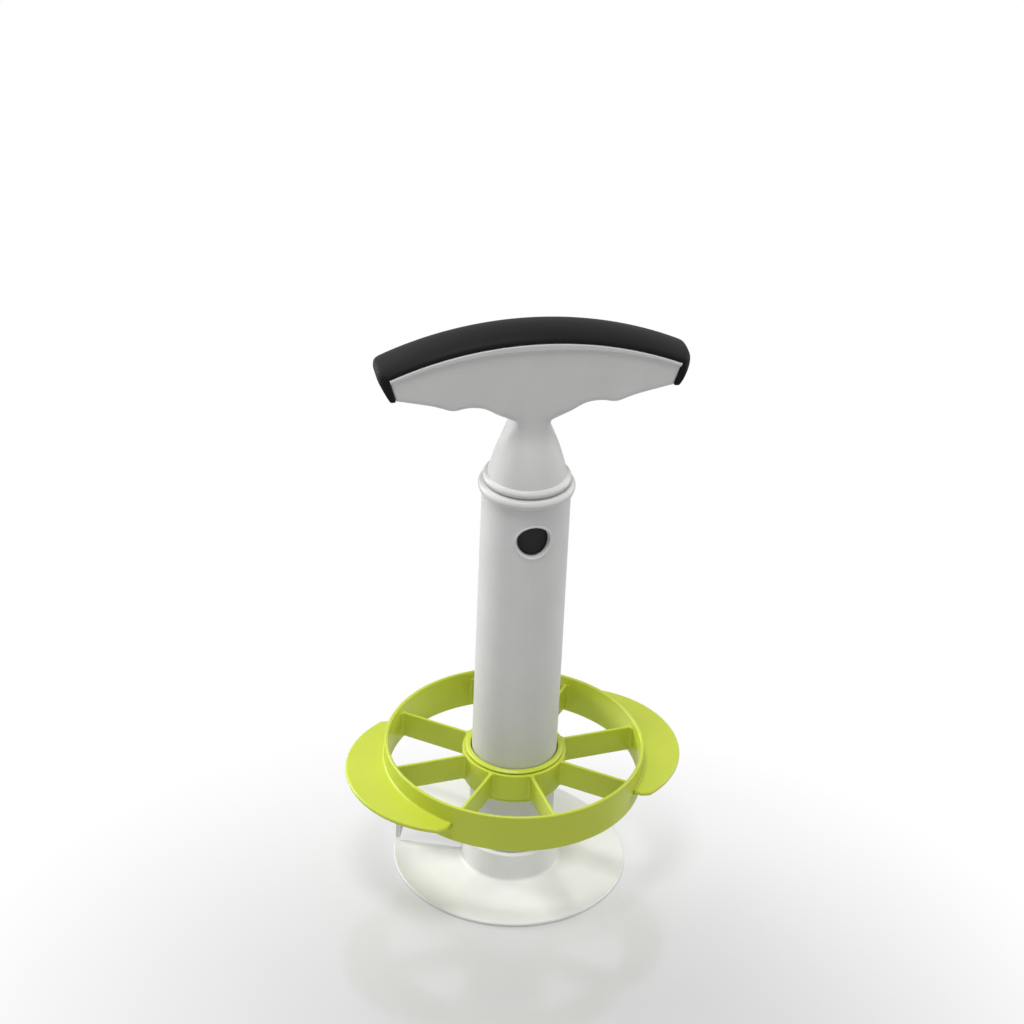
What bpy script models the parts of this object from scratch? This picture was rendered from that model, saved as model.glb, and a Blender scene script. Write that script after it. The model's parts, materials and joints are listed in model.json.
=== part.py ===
"""Pineapple slicer: corer tube with a slicing disc, a T handle that lifts off, and a wedger ring.

Frame: metres, Z up, origin on the tube's axis at the level that the disc stands on.
X runs along the handle, and the front release button faces -Y.
"""
import math

import bmesh
import bpy
from mathutils import Matrix, Vector

# Clearances and overruns that all pieces share
GAP = 0.0003
SLIDE_CLEARANCE = 0.0004
OVERRUN = 0.0030
MERGE_DISTANCE = 0.00001

# Corer tube
TUBE_LENGTH = 0.1651
TUBE_RADIUS = 0.0160
TUBE_WALL = 0.0020
TOOTH_HEIGHT = 0.0032
TOOTH_LAND = 0.0013
TOOTH_COUNT = 16

# Slicing disc at the tube's foot
DISC_RADIUS = 0.0445
DISC_THICKNESS = 0.0014
DISC_EDGE_THICKNESS = 0.0004
SLICE_PITCH = 0.0110
HUB_WALL = 0.0023
HUB_RISE = 0.0010
HUB_FOOT = 0.0006
RIM_CUTTER_WALL = 0.0016
CUT_START_DEG = 160.0
DISC_SWEEP_DEG = 359.5
LEVEL_SWEEP_DEG = 220.0
EDGE_TAPER_DEG = 9.0
RIM_CUTTER_SWEEP_DEG = 26.0

# Collar ring over the tube's mouth, and how far its bulge and its lip stand out from the tube
COLLAR_HEIGHT = 0.0042
COLLAR_PROUD = 0.0014
COLLAR_LIP_PROUD = 0.0006
COLLAR_SOCKET_DEPTH = 0.0020

# Handle neck with its upper ring, and how far ring, foot and groove lie inside the tube's radius
NECK_HEIGHT = 0.0194
NECK_TOP_RADIUS = 0.0076
NECK_SWELL = 0.0006
NECK_RISE = 0.0060
NECK_RING_HEIGHT = 0.0028
NECK_RING_INSET = 0.0002
RING_FOOT_INSET = 0.0011
NECK_GROOVE_INSET = 0.0017

# Handle body
BODY_HALF_LENGTH = 0.0518
BODY_HEIGHT = 0.0359
BODY_CROWN = 0.0108
BODY_HALF_DEPTH = 0.0083
BODY_WALL = 0.0020
BODY_ROUNDING = 0.0020
BODY_FLOOR_RISE = 0.0084
LIP_PROUD = 0.0006
LIP_HEIGHT = 0.0026
LIP_END_HEIGHT = 0.0013
LIP_ROUNDING = 0.0005
LIP_RAISE = 0.0004
STUB_DEPTH = 0.0062

# Soft grip and its carrier
GRIP_END_REACH = 0.0038
GRIP_THICKNESS = 0.0036
GRIP_RIM_HEIGHT = 0.0006
GRIP_END_THICKNESS = 0.0022
GRIP_OVERHANG = 0.0005
GRIP_CORNER = 0.0050
CARRIER_THICKNESS = 0.0016

# Plug in the tube's mouth, and how far it reaches below the buttons
PLUG_SKIRT = 0.0125
SPIGOT_STEP = 0.0037
SPIGOT_HEIGHT = 0.0070
CAP_THICKNESS = 0.0012

# Release buttons and springs
BUTTON_DROP = 0.0146
BUTTON_RADIUS = 0.0061
BUTTON_FLANGE_STEP = 0.0009
BUTTON_FLANGE_THICKNESS = 0.0013
BUTTON_FLANGE_REACH = 0.0040
BUTTON_LENGTH = 0.0067
BUTTON_DISH = 0.0004
SPRING_PLATE_THICKNESS = 0.0016
SPRING_PLATE_HALF_WIDTH = 0.0088
SPRING_PIN_RADIUS = 0.0017
SPRING_PIN_LENGTH = 0.0018
SPRING_RADIUS = 0.0025
SPRING_WIRE_RADIUS = 0.0003
SPRING_POCKET_DEPTH = 0.0035
SPRING_CURLS = 7
SPRING_STEPS = 8

# Screws and nut
SCREW_RADIUS = 0.0019
SCREW_HEAD_RADIUS = 0.0038
SCREW_HEAD_HEIGHT = 0.0024
SCREW_SOCKET_RADIUS = 0.0017
NUT_RADIUS = 0.0040
NUT_HEIGHT = 0.0030
NUT_RISE = 0.0020
CAP_SCREW_RADIUS = 0.0009
CAP_SCREW_HEAD_RADIUS = 0.0018
CAP_SCREW_HEAD_HEIGHT = 0.0010
CAP_SCREW_SOCKET_RADIUS = 0.0008
CAP_SCREW_LENGTH = 0.0050
CAP_SCREW_OFFSET = 0.0085

# Wedger
WEDGER_BOTTOM_Z = 0.0386
WEDGER_HEIGHT = 0.0153
WEDGER_RADIUS = 0.0489
WEDGER_WALL = 0.0014
WEDGER_DRAFT = 0.0003
WEDGER_TURN_DEG = 8.0
WEDGER_RIM_ROUNDING = 0.0004
WING_WIDTH = 0.0157
WING_TIP_WIDTH = 0.0052
WING_THICKNESS = 0.0018
WING_DROP = 0.0075
WING_ROUNDING = 0.0006
WING_CORNER = 0.0020
WING_HALF_ANGLE_DEG = 43.0
BLADE_COUNT = 8
BLADE_THICKNESS = 0.0012
BLADE_DROP = 0.0030
BLADE_RISE = 0.0006
BLADE_EDGE_HEIGHT = 0.0025
BLADE_EDGE_THICKNESS = 0.0003
SLEEVE_WALL = 0.0012
SLEEVE_FLANGE_HEIGHT = 0.0010
SLEEVE_FLANGE_REACH = 0.0014
WEDGER_HUB_WALL = 0.0016

# Mesh steps
ROUND_STEPS = 48
RING_STEPS = 72
SMALL_STEPS = 16
ARC_STEPS = 24
PATH_STEPS = 3
NECK_ROWS = 8
CROWN_STEPS = 160
ROUNDING_SEGMENTS = 3
GRIP_SEGMENTS = 6
HEX_SIDES = 6
SMOOTH_ANGLE = math.radians(35.0)
FLAT_ANGLE = math.radians(0.02)

# Underside of the handle, from the neck outwards: shares of the body's half length
# and of the height between the neck's top and the body's apex
UNDERSIDE_SHARES = (
    (0.147, 0.000),
    (0.157, 0.070),
    (0.178, 0.139),
    (0.217, 0.187),
    (0.263, 0.237),
    (0.319, 0.290),
    (0.368, 0.318),
    (0.426, 0.330),
    (0.478, 0.327),
    (0.542, 0.309),
    (0.580, 0.312),
    (0.648, 0.348),
    (0.729, 0.384),
    (0.896, 0.440),
    (0.948, 0.457),
)
STUB_WIDTH_SHARE = 0.5
CAVITY_REACH_SHARE = 0.90

# Heights of the two rings' bulges, as shares of each ring's height
COLLAR_BULGE_SHARES = (0.48, 0.72, 0.94)
NECK_RING_BULGE_SHARES = (0.34, 0.72)

# Places and radii that several pieces share
TUBE_BORE_RADIUS = TUBE_RADIUS - TUBE_WALL
PLUG_RADIUS = TUBE_BORE_RADIUS - GAP
SPIGOT_RADIUS = PLUG_RADIUS - SPIGOT_STEP
COLLAR_BOTTOM_Z = TUBE_LENGTH + GAP - COLLAR_SOCKET_DEPTH
COLLAR_TOP_Z = COLLAR_BOTTOM_Z + COLLAR_HEIGHT
COLLAR_RADIUS = TUBE_RADIUS + COLLAR_PROUD
COLLAR_LIP_RADIUS = TUBE_RADIUS + COLLAR_LIP_PROUD
NECK_BOTTOM_Z = COLLAR_TOP_Z + GAP
NECK_RING_TOP_Z = NECK_BOTTOM_Z + NECK_RING_HEIGHT
NECK_TOP_Z = NECK_RING_TOP_Z + NECK_HEIGHT
NECK_RING_RADIUS = TUBE_RADIUS - NECK_RING_INSET
RING_FOOT_RADIUS = TUBE_RADIUS - RING_FOOT_INSET
NECK_GROOVE_RADIUS = TUBE_RADIUS - NECK_GROOVE_INSET
BODY_APEX_Z = NECK_TOP_Z + BODY_HEIGHT
BODY_FLOOR_Z = NECK_TOP_Z + BODY_FLOOR_RISE
GRIP_HALF_LENGTH = BODY_HALF_LENGTH + GRIP_END_REACH
GRIP_HALF_DEPTH = BODY_HALF_DEPTH + GRIP_OVERHANG
BUTTON_Z = TUBE_LENGTH - BUTTON_DROP
BUTTON_HOLE_RADIUS = BUTTON_RADIUS + GAP
BUTTON_FLANGE_RADIUS = BUTTON_RADIUS + BUTTON_FLANGE_STEP
PLUG_BOTTOM_Z = BUTTON_Z - PLUG_SKIRT
SPIGOT_TOP_Z = TUBE_LENGTH + SPIGOT_HEIGHT
WEDGER_TOP_Z = WEDGER_BOTTOM_Z + WEDGER_HEIGHT
SLEEVE_RADIUS = TUBE_RADIUS + SLIDE_CLEARANCE + SLEEVE_WALL
SLEEVE_FLANGE_RADIUS = SLEEVE_RADIUS + SLEEVE_FLANGE_REACH
WEDGER_HUB_RADIUS = SLEEVE_RADIUS + GAP + WEDGER_HUB_WALL
WEDGER_INNER_RADIUS = WEDGER_RADIUS - WEDGER_WALL


def clear_scene():
    for item in list(bpy.data.objects):
        bpy.data.objects.remove(item, do_unlink=True)


def new_collection(name):
    collection = bpy.data.collections.new(name)
    bpy.context.scene.collection.children.link(collection)
    return collection


def new_material(name, colour, roughness, metallic):
    material = bpy.data.materials.new(name)
    material.use_nodes = True
    shader = material.node_tree.nodes["Principled BSDF"]
    shader.inputs["Base Color"].default_value = (*colour, 1.0)
    shader.inputs["Roughness"].default_value = roughness
    shader.inputs["Metallic"].default_value = metallic
    material.diffuse_color = (*colour, 1.0)
    return material


def add_object(name, mesh, collection):
    piece = bpy.data.objects.new(name, mesh)
    collection.objects.link(piece)
    return piece


def turned(name, profile, steps, collection, closed=True):
    """Turn a profile of (radius, height) pairs about Z; it runs down its outer side."""
    mesh = bpy.data.meshes.new(name)
    points = [(radius, 0.0, height) for radius, height in profile]
    edges = [(i, i + 1) for i in range(len(points) - 1)]
    if closed:
        edges.append((len(points) - 1, 0))
    mesh.from_pydata(points, edges, [])
    piece = add_object(name, mesh, collection)
    screw = piece.modifiers.new("Turn", "SCREW")
    screw.axis = "Z"
    screw.angle = math.tau
    screw.steps = steps
    screw.render_steps = steps
    screw.use_merge_vertices = True
    screw.merge_threshold = MERGE_DISTANCE
    return piece


def baked_mesh(piece):
    """Return the piece's mesh with its modifiers, in world space."""
    bpy.context.view_layer.update()
    graph = bpy.context.evaluated_depsgraph_get()
    mesh = bpy.data.meshes.new_from_object(piece.evaluated_get(graph))
    mesh.transform(piece.matrix_world)
    return mesh


def curve_to_mesh(name, curve, place, collection):
    """Turn a curve with filled caps into a welded, closed mesh object."""
    guide = add_object(name + "_guide", curve, collection)
    guide.matrix_world = place
    mesh = baked_mesh(guide)
    bpy.data.objects.remove(guide, do_unlink=True)
    shape = bmesh.new()
    shape.from_mesh(mesh)
    bmesh.ops.remove_doubles(shape, verts=shape.verts, dist=MERGE_DISTANCE)
    bmesh.ops.dissolve_limit(shape, angle_limit=FLAT_ANGLE, verts=shape.verts, edges=shape.edges)
    bmesh.ops.recalc_face_normals(shape, faces=shape.faces)
    shape.to_mesh(mesh)
    shape.free()
    mesh.name = name
    return add_object(name, mesh, collection)


def plate(name, outline, half_depth, collection, place=None, rounding=0.0, segments=1):
    """Fill an outline of (x, z) pairs and give it depth both ways along Y, with rounded rims."""
    curve = bpy.data.curves.new(name, "CURVE")
    curve.dimensions = "2D"
    curve.fill_mode = "BOTH"
    curve.extrude = half_depth - rounding
    curve.bevel_depth = rounding
    curve.bevel_resolution = segments - 1
    curve.offset = -rounding
    spline = curve.splines.new("POLY")
    spline.points.add(len(outline) - 1)
    for point, (x, z) in zip(spline.points, outline):
        point.co = (x, z, 0.0, 1.0)
    spline.use_cyclic_u = True
    upright = Matrix.Rotation(math.radians(90.0), 4, "X")
    return curve_to_mesh(name, curve, (place or Matrix.Identity(4)) @ upright, collection)


def cylinder(name, radius, depth, centre, axis, steps, collection):
    """Make a cylinder of the given depth about its centre, along axis X, Y or Z."""
    turn = {
        "X": Matrix.Rotation(math.radians(90.0), 4, "Y"),
        "Y": Matrix.Rotation(math.radians(90.0), 4, "X"),
        "Z": Matrix.Identity(4),
    }[axis]
    shape = bmesh.new()
    bmesh.ops.create_cone(
        shape, cap_ends=True, segments=steps, radius1=radius, radius2=radius, depth=depth,
        matrix=Matrix.Translation(centre) @ turn,
    )
    return mesh_object(name, shape, collection)


def box(name, size, centre, collection):
    shape = bmesh.new()
    place = Matrix.Translation(centre) @ Matrix.Diagonal((*size, 1.0))
    bmesh.ops.create_cube(shape, size=1.0, matrix=place)
    return mesh_object(name, shape, collection)


def mesh_object(name, shape, collection):
    mesh = bpy.data.meshes.new(name)
    shape.to_mesh(mesh)
    shape.free()
    return add_object(name, mesh, collection)


def use_tool(piece, tool, operation, overlapping=False):
    """Cut or join another shape, which stays behind as a hidden cutter."""
    modifier = piece.modifiers.new(operation.title(), "BOOLEAN")
    modifier.operation = operation
    modifier.object = tool
    modifier.use_self = overlapping
    tool.hide_render = True
    tool.display_type = "WIRE"


def cut(piece, tool, overlapping=False):
    use_tool(piece, tool, "DIFFERENCE", overlapping)


def join(piece, tool):
    use_tool(piece, tool, "UNION")


def keep_inside(piece, tool):
    use_tool(piece, tool, "INTERSECT")


def finish(piece, material):
    """Settle the modifiers, give the material and shade round faces smooth."""
    mesh = baked_mesh(piece)
    piece.modifiers.clear()
    piece.data = mesh
    piece.matrix_world = Matrix.Identity(4)
    mesh.materials.clear()
    mesh.materials.append(material)
    mesh.shade_smooth()
    mesh.set_sharp_from_angle(angle=SMOOTH_ANGLE)
    return piece


def set_origin(piece, point):
    """Put the piece's origin on its joint without moving its shape."""
    piece.data.transform(Matrix.Translation(-Vector(point)))
    piece.location = point


def smooth_path(points, steps):
    """Run a Catmull-Rom curve through the points."""
    path = []
    padded = [points[0], *points, points[-1]]
    for a, b, c, d in zip(padded, padded[1:], padded[2:], padded[3:]):
        for step in range(steps):
            t = step / steps
            path.append(tuple(
                0.5 * (2 * q + (r - p) * t + (2 * p - 5 * q + 4 * r - s) * t ** 2
                       + (3 * q - p - 3 * r + s) * t ** 3)
                for p, q, r, s in zip(a, b, c, d)
            ))
    path.append(points[-1])
    return path


def crown_height(x, half_length, apex, crown):
    """Return the height of a circular crown at x; it falls by crown at the half length."""
    radius = (half_length ** 2 + crown ** 2) / (2 * crown)
    return apex - radius + math.sqrt(radius ** 2 - x ** 2)


def crown_path(reach, half_length, apex, crown):
    """Return points on the crown from +reach to -reach."""
    xs = [reach * (1 - 2 * i / ARC_STEPS) for i in range(ARC_STEPS + 1)]
    return [(x, crown_height(x, half_length, apex, crown)) for x in xs]


def body_top(x):
    return crown_height(x, BODY_HALF_LENGTH, BODY_APEX_Z, BODY_CROWN)


def mirrored(path):
    return [(-x, z) for x, z in reversed(path)]


def underside_path():
    """Return the handle's underside on the +X side, from the neck outwards."""
    points = [(BODY_HALF_LENGTH * x, NECK_TOP_Z + BODY_HEIGHT * z) for x, z in UNDERSIDE_SHARES]
    return smooth_path(points, PATH_STEPS)


def core_tube(parts, cutters):
    """Make the corer tube, with a toothed foot and a hole for each release button."""
    tube = turned("core_tube", [
        (TUBE_RADIUS, TUBE_LENGTH),
        (TUBE_RADIUS, 0.0),
        (TUBE_BORE_RADIUS, 0.0),
        (TUBE_BORE_RADIUS, TUBE_LENGTH),
    ], ROUND_STEPS, parts)
    reach = 2 * (TUBE_RADIUS + OVERRUN)
    hole = cylinder("tube_button_holes", BUTTON_HOLE_RADIUS, reach, (0.0, 0.0, BUTTON_Z), "Y",
                    SMALL_STEPS * 2, cutters)
    cut(tube, hole)
    cut(tube, tooth_notches(cutters), overlapping=True)
    return tube


def tooth_notches(cutters):
    """Make the notches between the foot's teeth: three-sided prisms that point inwards."""
    pitch = math.tau * TUBE_RADIUS / TOOTH_COUNT
    full_height = TOOTH_HEIGHT + OVERRUN
    width = (pitch - TOOTH_LAND) * full_height / TOOTH_HEIGHT
    stand = Matrix.Rotation(math.radians(-90.0), 4, "Y")
    shape = bmesh.new()
    for i in range(TOOTH_COUNT):
        turn = Matrix.Rotation(math.tau * (i + 0.5) / TOOTH_COUNT, 4, "Z")
        centre = Matrix.Translation((TUBE_RADIUS - TUBE_WALL / 2, 0.0, TOOTH_HEIGHT - full_height * 2 / 3))
        size = Matrix.Diagonal((full_height / 1.5, width / math.sqrt(3.0), 1.0, 1.0))
        bmesh.ops.create_cone(
            shape, cap_ends=True, segments=3, radius1=1.0, radius2=1.0,
            depth=TUBE_WALL + 2 * OVERRUN, matrix=turn @ centre @ stand @ size,
        )
    bmesh.ops.recalc_face_normals(shape, faces=shape.faces)
    return mesh_object("tube_tooth_notches", shape, cutters)


def swept_ring(name, profile, start_deg, sweep_deg, steps, collection):
    """Sweep a closed profile of (radius, height) pairs part of the way round Z."""
    start = math.radians(start_deg)
    shape = bmesh.new()
    corners = [
        shape.verts.new((radius * math.cos(start), radius * math.sin(start), height))
        for radius, height in profile
    ]
    section = shape.faces.new(corners)
    sides = list(section.edges)
    swept = bmesh.ops.spin(
        shape, geom=sides + corners, axis=(0.0, 0.0, 1.0), cent=(0.0, 0.0, 0.0),
        angle=math.radians(sweep_deg), steps=steps, use_duplicate=False,
    )
    shape.faces.new(ordered_loop(swept["geom_last"]))
    bmesh.ops.recalc_face_normals(shape, faces=shape.faces)
    return mesh_object(name, shape, collection)


def ordered_loop(geometry):
    """Return the vertices of a closed edge loop in order."""
    edges = [item for item in geometry if isinstance(item, bmesh.types.BMEdge)]
    loop = [edges[0].verts[0]]
    previous = None
    while len(loop) < len(edges):
        edge = next(e for e in loop[-1].link_edges if e in edges and e is not previous)
        loop.append(edge.other_vert(loop[-1]))
        previous = edge
    return loop


def turn_past_cut(point):
    """Return how many degrees a point lies past the disc's cutting edge."""
    margin = (360.0 - DISC_SWEEP_DEG) / 2
    angle = math.degrees(math.atan2(point.y, point.x)) - CUT_START_DEG
    return (angle + margin) % 360.0 - margin


def ease(share):
    share = min(max(share, 0.0), 1.0)
    return share * share * (3 - 2 * share)


def disc_climb(turn):
    """Return the disc's rise at a turn past the cut: level first, then one slice up."""
    return SLICE_PITCH * ease((turn - LEVEL_SWEEP_DEG) / (DISC_SWEEP_DEG - LEVEL_SWEEP_DEG))


def slicing_base(parts, cutters):
    """Make the slicing disc with its hub and the upright cutter at its rim."""
    hub_inner = TUBE_RADIUS + GAP
    hub_outer = hub_inner + HUB_WALL
    disc_inner = hub_inner + HUB_WALL / 2
    disc = swept_ring("slicing_base", [
        (disc_inner, 0.0),
        (DISC_RADIUS, 0.0),
        (DISC_RADIUS, DISC_THICKNESS),
        (disc_inner, DISC_THICKNESS),
    ], CUT_START_DEG, DISC_SWEEP_DEG, RING_STEPS, parts)
    for vertex in disc.data.vertices:
        turn = turn_past_cut(vertex.co)
        sharp = ease(turn / EDGE_TAPER_DEG)
        if vertex.co.z > DISC_THICKNESS / 2:
            vertex.co.z = DISC_EDGE_THICKNESS + (DISC_THICKNESS - DISC_EDGE_THICKNESS) * sharp
        vertex.co.z += disc_climb(turn)
    hub_top = SLICE_PITCH + DISC_THICKNESS + HUB_RISE
    join(disc, turned("disc_hub", [
        (hub_outer, hub_top),
        (hub_outer, HUB_FOOT),
        (hub_inner, HUB_FOOT),
        (hub_inner, hub_top),
    ], ROUND_STEPS, cutters))
    join(disc, rim_cutter(cutters))
    return disc


def rim_cutter(cutters):
    """Make the upright cutter under the disc's raised end: it deepens towards the cutting edge."""
    start = DISC_SWEEP_DEG - RIM_CUTTER_SWEEP_DEG
    cutter = swept_ring("disc_rim_cutter", [
        (DISC_RADIUS - RIM_CUTTER_WALL, 0.0),
        (DISC_RADIUS - MERGE_DISTANCE, 0.0),
        (DISC_RADIUS - MERGE_DISTANCE, DISC_THICKNESS),
        (DISC_RADIUS - RIM_CUTTER_WALL, DISC_THICKNESS),
    ], CUT_START_DEG + start, RIM_CUTTER_SWEEP_DEG, SMALL_STEPS, cutters)
    for vertex in cutter.data.vertices:
        turn = turn_past_cut(vertex.co)
        share = (turn - start) / RIM_CUTTER_SWEEP_DEG
        attach = disc_climb(turn) + DISC_THICKNESS / 2
        if vertex.co.z > DISC_THICKNESS / 2:
            vertex.co.z = attach
        else:
            vertex.co.z = attach - DISC_THICKNESS / 4 - (attach - DISC_THICKNESS) * ease(share)
    return cutter


def tube_collar(parts):
    """Make the larger ring, whose socket covers the tube's end."""
    socket_radius = TUBE_RADIUS + GAP
    socket_z = COLLAR_BOTTOM_Z + COLLAR_SOCKET_DEPTH
    bore = SPIGOT_RADIUS + GAP
    low, middle, high = [COLLAR_BOTTOM_Z + COLLAR_HEIGHT * share for share in COLLAR_BULGE_SHARES]
    outer = [
        (RING_FOOT_RADIUS, COLLAR_TOP_Z),
        (COLLAR_LIP_RADIUS, high),
        (COLLAR_RADIUS, middle),
        (COLLAR_RADIUS, low),
        (COLLAR_LIP_RADIUS, COLLAR_BOTTOM_Z),
    ]
    return turned("tube_collar", smooth_path(outer, PATH_STEPS) + [
        (socket_radius, COLLAR_BOTTOM_Z),
        (socket_radius, socket_z),
        (bore, socket_z),
        (bore, COLLAR_TOP_Z),
    ], ROUND_STEPS, parts)


def neck_profile():
    """Return the neck's profile, from inside the body down to its upper ring and bottom face."""
    side = []
    for i in range(NECK_ROWS + 1):
        share = i / NECK_ROWS
        radius = NECK_TOP_RADIUS + (NECK_GROOVE_RADIUS - NECK_TOP_RADIUS) * share
        side.append((radius + NECK_SWELL * math.sin(math.pi * share), NECK_TOP_Z - NECK_HEIGHT * share))
    low, high = [NECK_BOTTOM_Z + NECK_RING_HEIGHT * share for share in NECK_RING_BULGE_SHARES]
    ring = smooth_path([
        (NECK_GROOVE_RADIUS, NECK_RING_TOP_Z),
        (NECK_RING_RADIUS, high),
        (NECK_RING_RADIUS, low),
        (RING_FOOT_RADIUS, NECK_BOTTOM_Z),
    ], PATH_STEPS)
    top = (NECK_TOP_RADIUS, NECK_TOP_Z + NECK_RISE)
    return [(0.0, top[1]), top, *side, *ring[1:], (0.0, NECK_BOTTOM_Z)]


def body_outline():
    """Return the T body's outline, with a stub that ends inside the neck."""
    side = underside_path()
    stub = (side[0][0] * STUB_WIDTH_SHARE, NECK_TOP_Z - STUB_DEPTH)
    right = [stub, *side]
    top = crown_path(BODY_HALF_LENGTH - LIP_RAISE, BODY_HALF_LENGTH, BODY_APEX_Z, BODY_CROWN)
    return right + [(x, z - LIP_RAISE) for x, z in top] + mirrored(right)


def lip_outline():
    """Return the raised strip along the body's top edge, taller at the middle."""
    top = crown_path(BODY_HALF_LENGTH, BODY_HALF_LENGTH, BODY_APEX_Z, BODY_CROWN)
    lower = []
    for x, z in reversed(top):
        share = abs(x) / BODY_HALF_LENGTH
        lower.append((x, z - LIP_HEIGHT + (LIP_HEIGHT - LIP_END_HEIGHT) * share))
    end = end_line_x(lower[0][1], 0.0)
    lower[0] = (-end, lower[0][1])
    lower[-1] = (end, lower[-1][1])
    return top + lower


def cavity_floor():
    """Return the hollow's floor on the +X side, one wall above the underside."""
    reach = BODY_HALF_LENGTH * CAVITY_REACH_SHARE
    seat = SCREW_HEAD_RADIUS + 2 * GAP
    floor = [(x, z + BODY_WALL) for x, z in underside_path() if seat < x < reach]
    return [(seat, BODY_FLOOR_Z)] + [point for point in floor if point[1] > BODY_FLOOR_Z]


def cavity_outline():
    """Return the hollow of the T body, open at the top and closed over the neck."""
    floor = cavity_floor()
    right = [*floor, (floor[-1][0], BODY_APEX_Z + OVERRUN)]
    return right + mirrored(right)


def handle_body(parts, cutters):
    """Make the T body with its neck, hollow from above and bored for the screw."""
    body = plate("handle_body", body_outline(), BODY_HALF_DEPTH, parts,
                 rounding=BODY_ROUNDING, segments=ROUNDING_SEGMENTS)
    join(body, plate("handle_lip", lip_outline(), BODY_HALF_DEPTH + LIP_PROUD, cutters,
                     rounding=LIP_ROUNDING))
    join(body, turned("handle_neck", neck_profile(), ROUND_STEPS, cutters, closed=False))
    cut(body, plate("handle_cavity", cavity_outline(), BODY_HALF_DEPTH - BODY_WALL, cutters))
    bore_low = NECK_BOTTOM_Z - OVERRUN
    bore_high = BODY_FLOOR_Z + OVERRUN
    cut(body, cylinder("handle_screw_bore", SCREW_RADIUS + GAP, bore_high - bore_low,
                       (0.0, 0.0, (bore_low + bore_high) / 2), "Z", SMALL_STEPS, cutters))
    socket_high = SPIGOT_TOP_Z + GAP
    cut(body, cylinder("handle_spigot_socket", SPIGOT_RADIUS + GAP, socket_high - bore_low,
                       (0.0, 0.0, (bore_low + socket_high) / 2), "Z", ROUND_STEPS, cutters))
    return body


def end_line_x(z, offset):
    """Return the body's slanted end at height z, moved outwards by the offset."""
    low_x, low_z = underside_path()[-1]
    high_z = body_top(BODY_HALF_LENGTH)
    return offset + low_x + (BODY_HALF_LENGTH - low_x) * (z - low_z) / (high_z - low_z)


def grip_crown():
    """Return the soft grip's apex, its fall at the ends and its crown's radius."""
    apex = BODY_APEX_Z + GAP + GRIP_THICKNESS
    crown = BODY_CROWN * (GRIP_HALF_LENGTH / BODY_HALF_LENGTH) ** 2
    return apex, crown, (GRIP_HALF_LENGTH ** 2 + crown ** 2) / (2 * crown)


def soft_grip(parts, cutters):
    """Make the soft cover over the body's top and down both of its ends.

    Its outline is taller than the crown, which is then turned about the crown's centre.
    """
    low_z = underside_path()[-1][1]
    high_z = body_top(BODY_HALF_LENGTH)
    apex, crown, _ = grip_crown()
    outer = [
        (end_line_x(low_z, GAP + GRIP_END_THICKNESS), low_z),
        (GRIP_HALF_LENGTH, apex - crown - GRIP_THICKNESS),
        (GRIP_HALF_LENGTH, apex + OVERRUN),
    ]
    body_crown = crown_path(BODY_HALF_LENGTH, BODY_HALF_LENGTH, BODY_APEX_Z, BODY_CROWN)
    top = [(x, z + GAP) for x, z in body_crown]
    end = [(end_line_x(high_z, GAP), high_z + GAP), (end_line_x(low_z, GAP), low_z)]
    inner = mirrored(end) + list(reversed(top))[1:-1] + end
    grip = plate("soft_grip", outer + mirrored(outer) + inner, GRIP_HALF_DEPTH + OVERRUN, parts)
    keep_inside(grip, grip_crown_shape(cutters))
    keep_inside(grip, grip_plan_shape(cutters))
    return grip


def rounded_corner(x, y, radius, steps):
    """Return a quarter round at a corner, from its x side to its y side, both positive."""
    turns = [math.pi / 2 * i / steps for i in range(steps + 1)]
    return [(x - radius * (1 - math.cos(t)), y - radius * (1 - math.sin(t))) for t in turns]


def grip_crown_shape(cutters):
    """Make the wheel whose rim is the grip's crown: half an ellipse from front to back."""
    apex, _, radius = grip_crown()
    bulge = GRIP_THICKNESS - GRIP_RIM_HEIGHT
    rim = []
    for i in range(GRIP_SEGMENTS + 1):
        turn = math.pi / 2 * i / GRIP_SEGMENTS
        rim.append((radius - bulge * (1 - math.cos(turn)), GRIP_HALF_DEPTH * math.sin(turn)))
    profile = [(0.0, GRIP_HALF_DEPTH)] + list(reversed(rim))
    profile += [(x, -y) for x, y in rim[1:]] + [(0.0, -GRIP_HALF_DEPTH)]
    wheel = turned("grip_crown_shape", profile, CROWN_STEPS, cutters, closed=False)
    place = Matrix.Translation((0.0, 0.0, apex - radius))
    wheel.matrix_world = place @ Matrix.Rotation(math.radians(-90.0), 4, "X")
    return wheel


def grip_plan_shape(cutters):
    """Make the block whose rounded corners are the grip's plan."""
    corner = rounded_corner(GRIP_HALF_LENGTH, GRIP_HALF_DEPTH + GAP, GRIP_CORNER, ROUNDING_SEGMENTS)
    right = [(x, -y) for x, y in reversed(corner)] + corner
    lay_flat = Matrix.Rotation(math.radians(-90.0), 4, "X")
    place = Matrix.Translation((0.0, 0.0, BODY_APEX_Z)) @ lay_flat
    return plate("grip_plan_shape", right + [(-x, -y) for x, y in right], BODY_HEIGHT + OVERRUN,
                 cutters, place)


def grip_carrier(parts):
    """Make the stiff strip that closes the body's hollow under the soft grip."""
    reach = cavity_floor()[-1][0] - GAP
    top = crown_path(reach, BODY_HALF_LENGTH, BODY_APEX_Z, BODY_CROWN)
    lower = [(x, z - CARRIER_THICKNESS) for x, z in reversed(top)]
    return plate("grip_carrier", top + lower, BODY_HALF_DEPTH - BODY_WALL - GAP, parts)


def button_cutter(name, radius, side, cutters, near, far):
    """Make a round cutter along Y on one side, between two distances from the axis."""
    centre = (0.0, side * (near + far) / 2, BUTTON_Z)
    return cylinder(name, radius, far - near, centre, "Y", SMALL_STEPS * 2, cutters)


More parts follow.
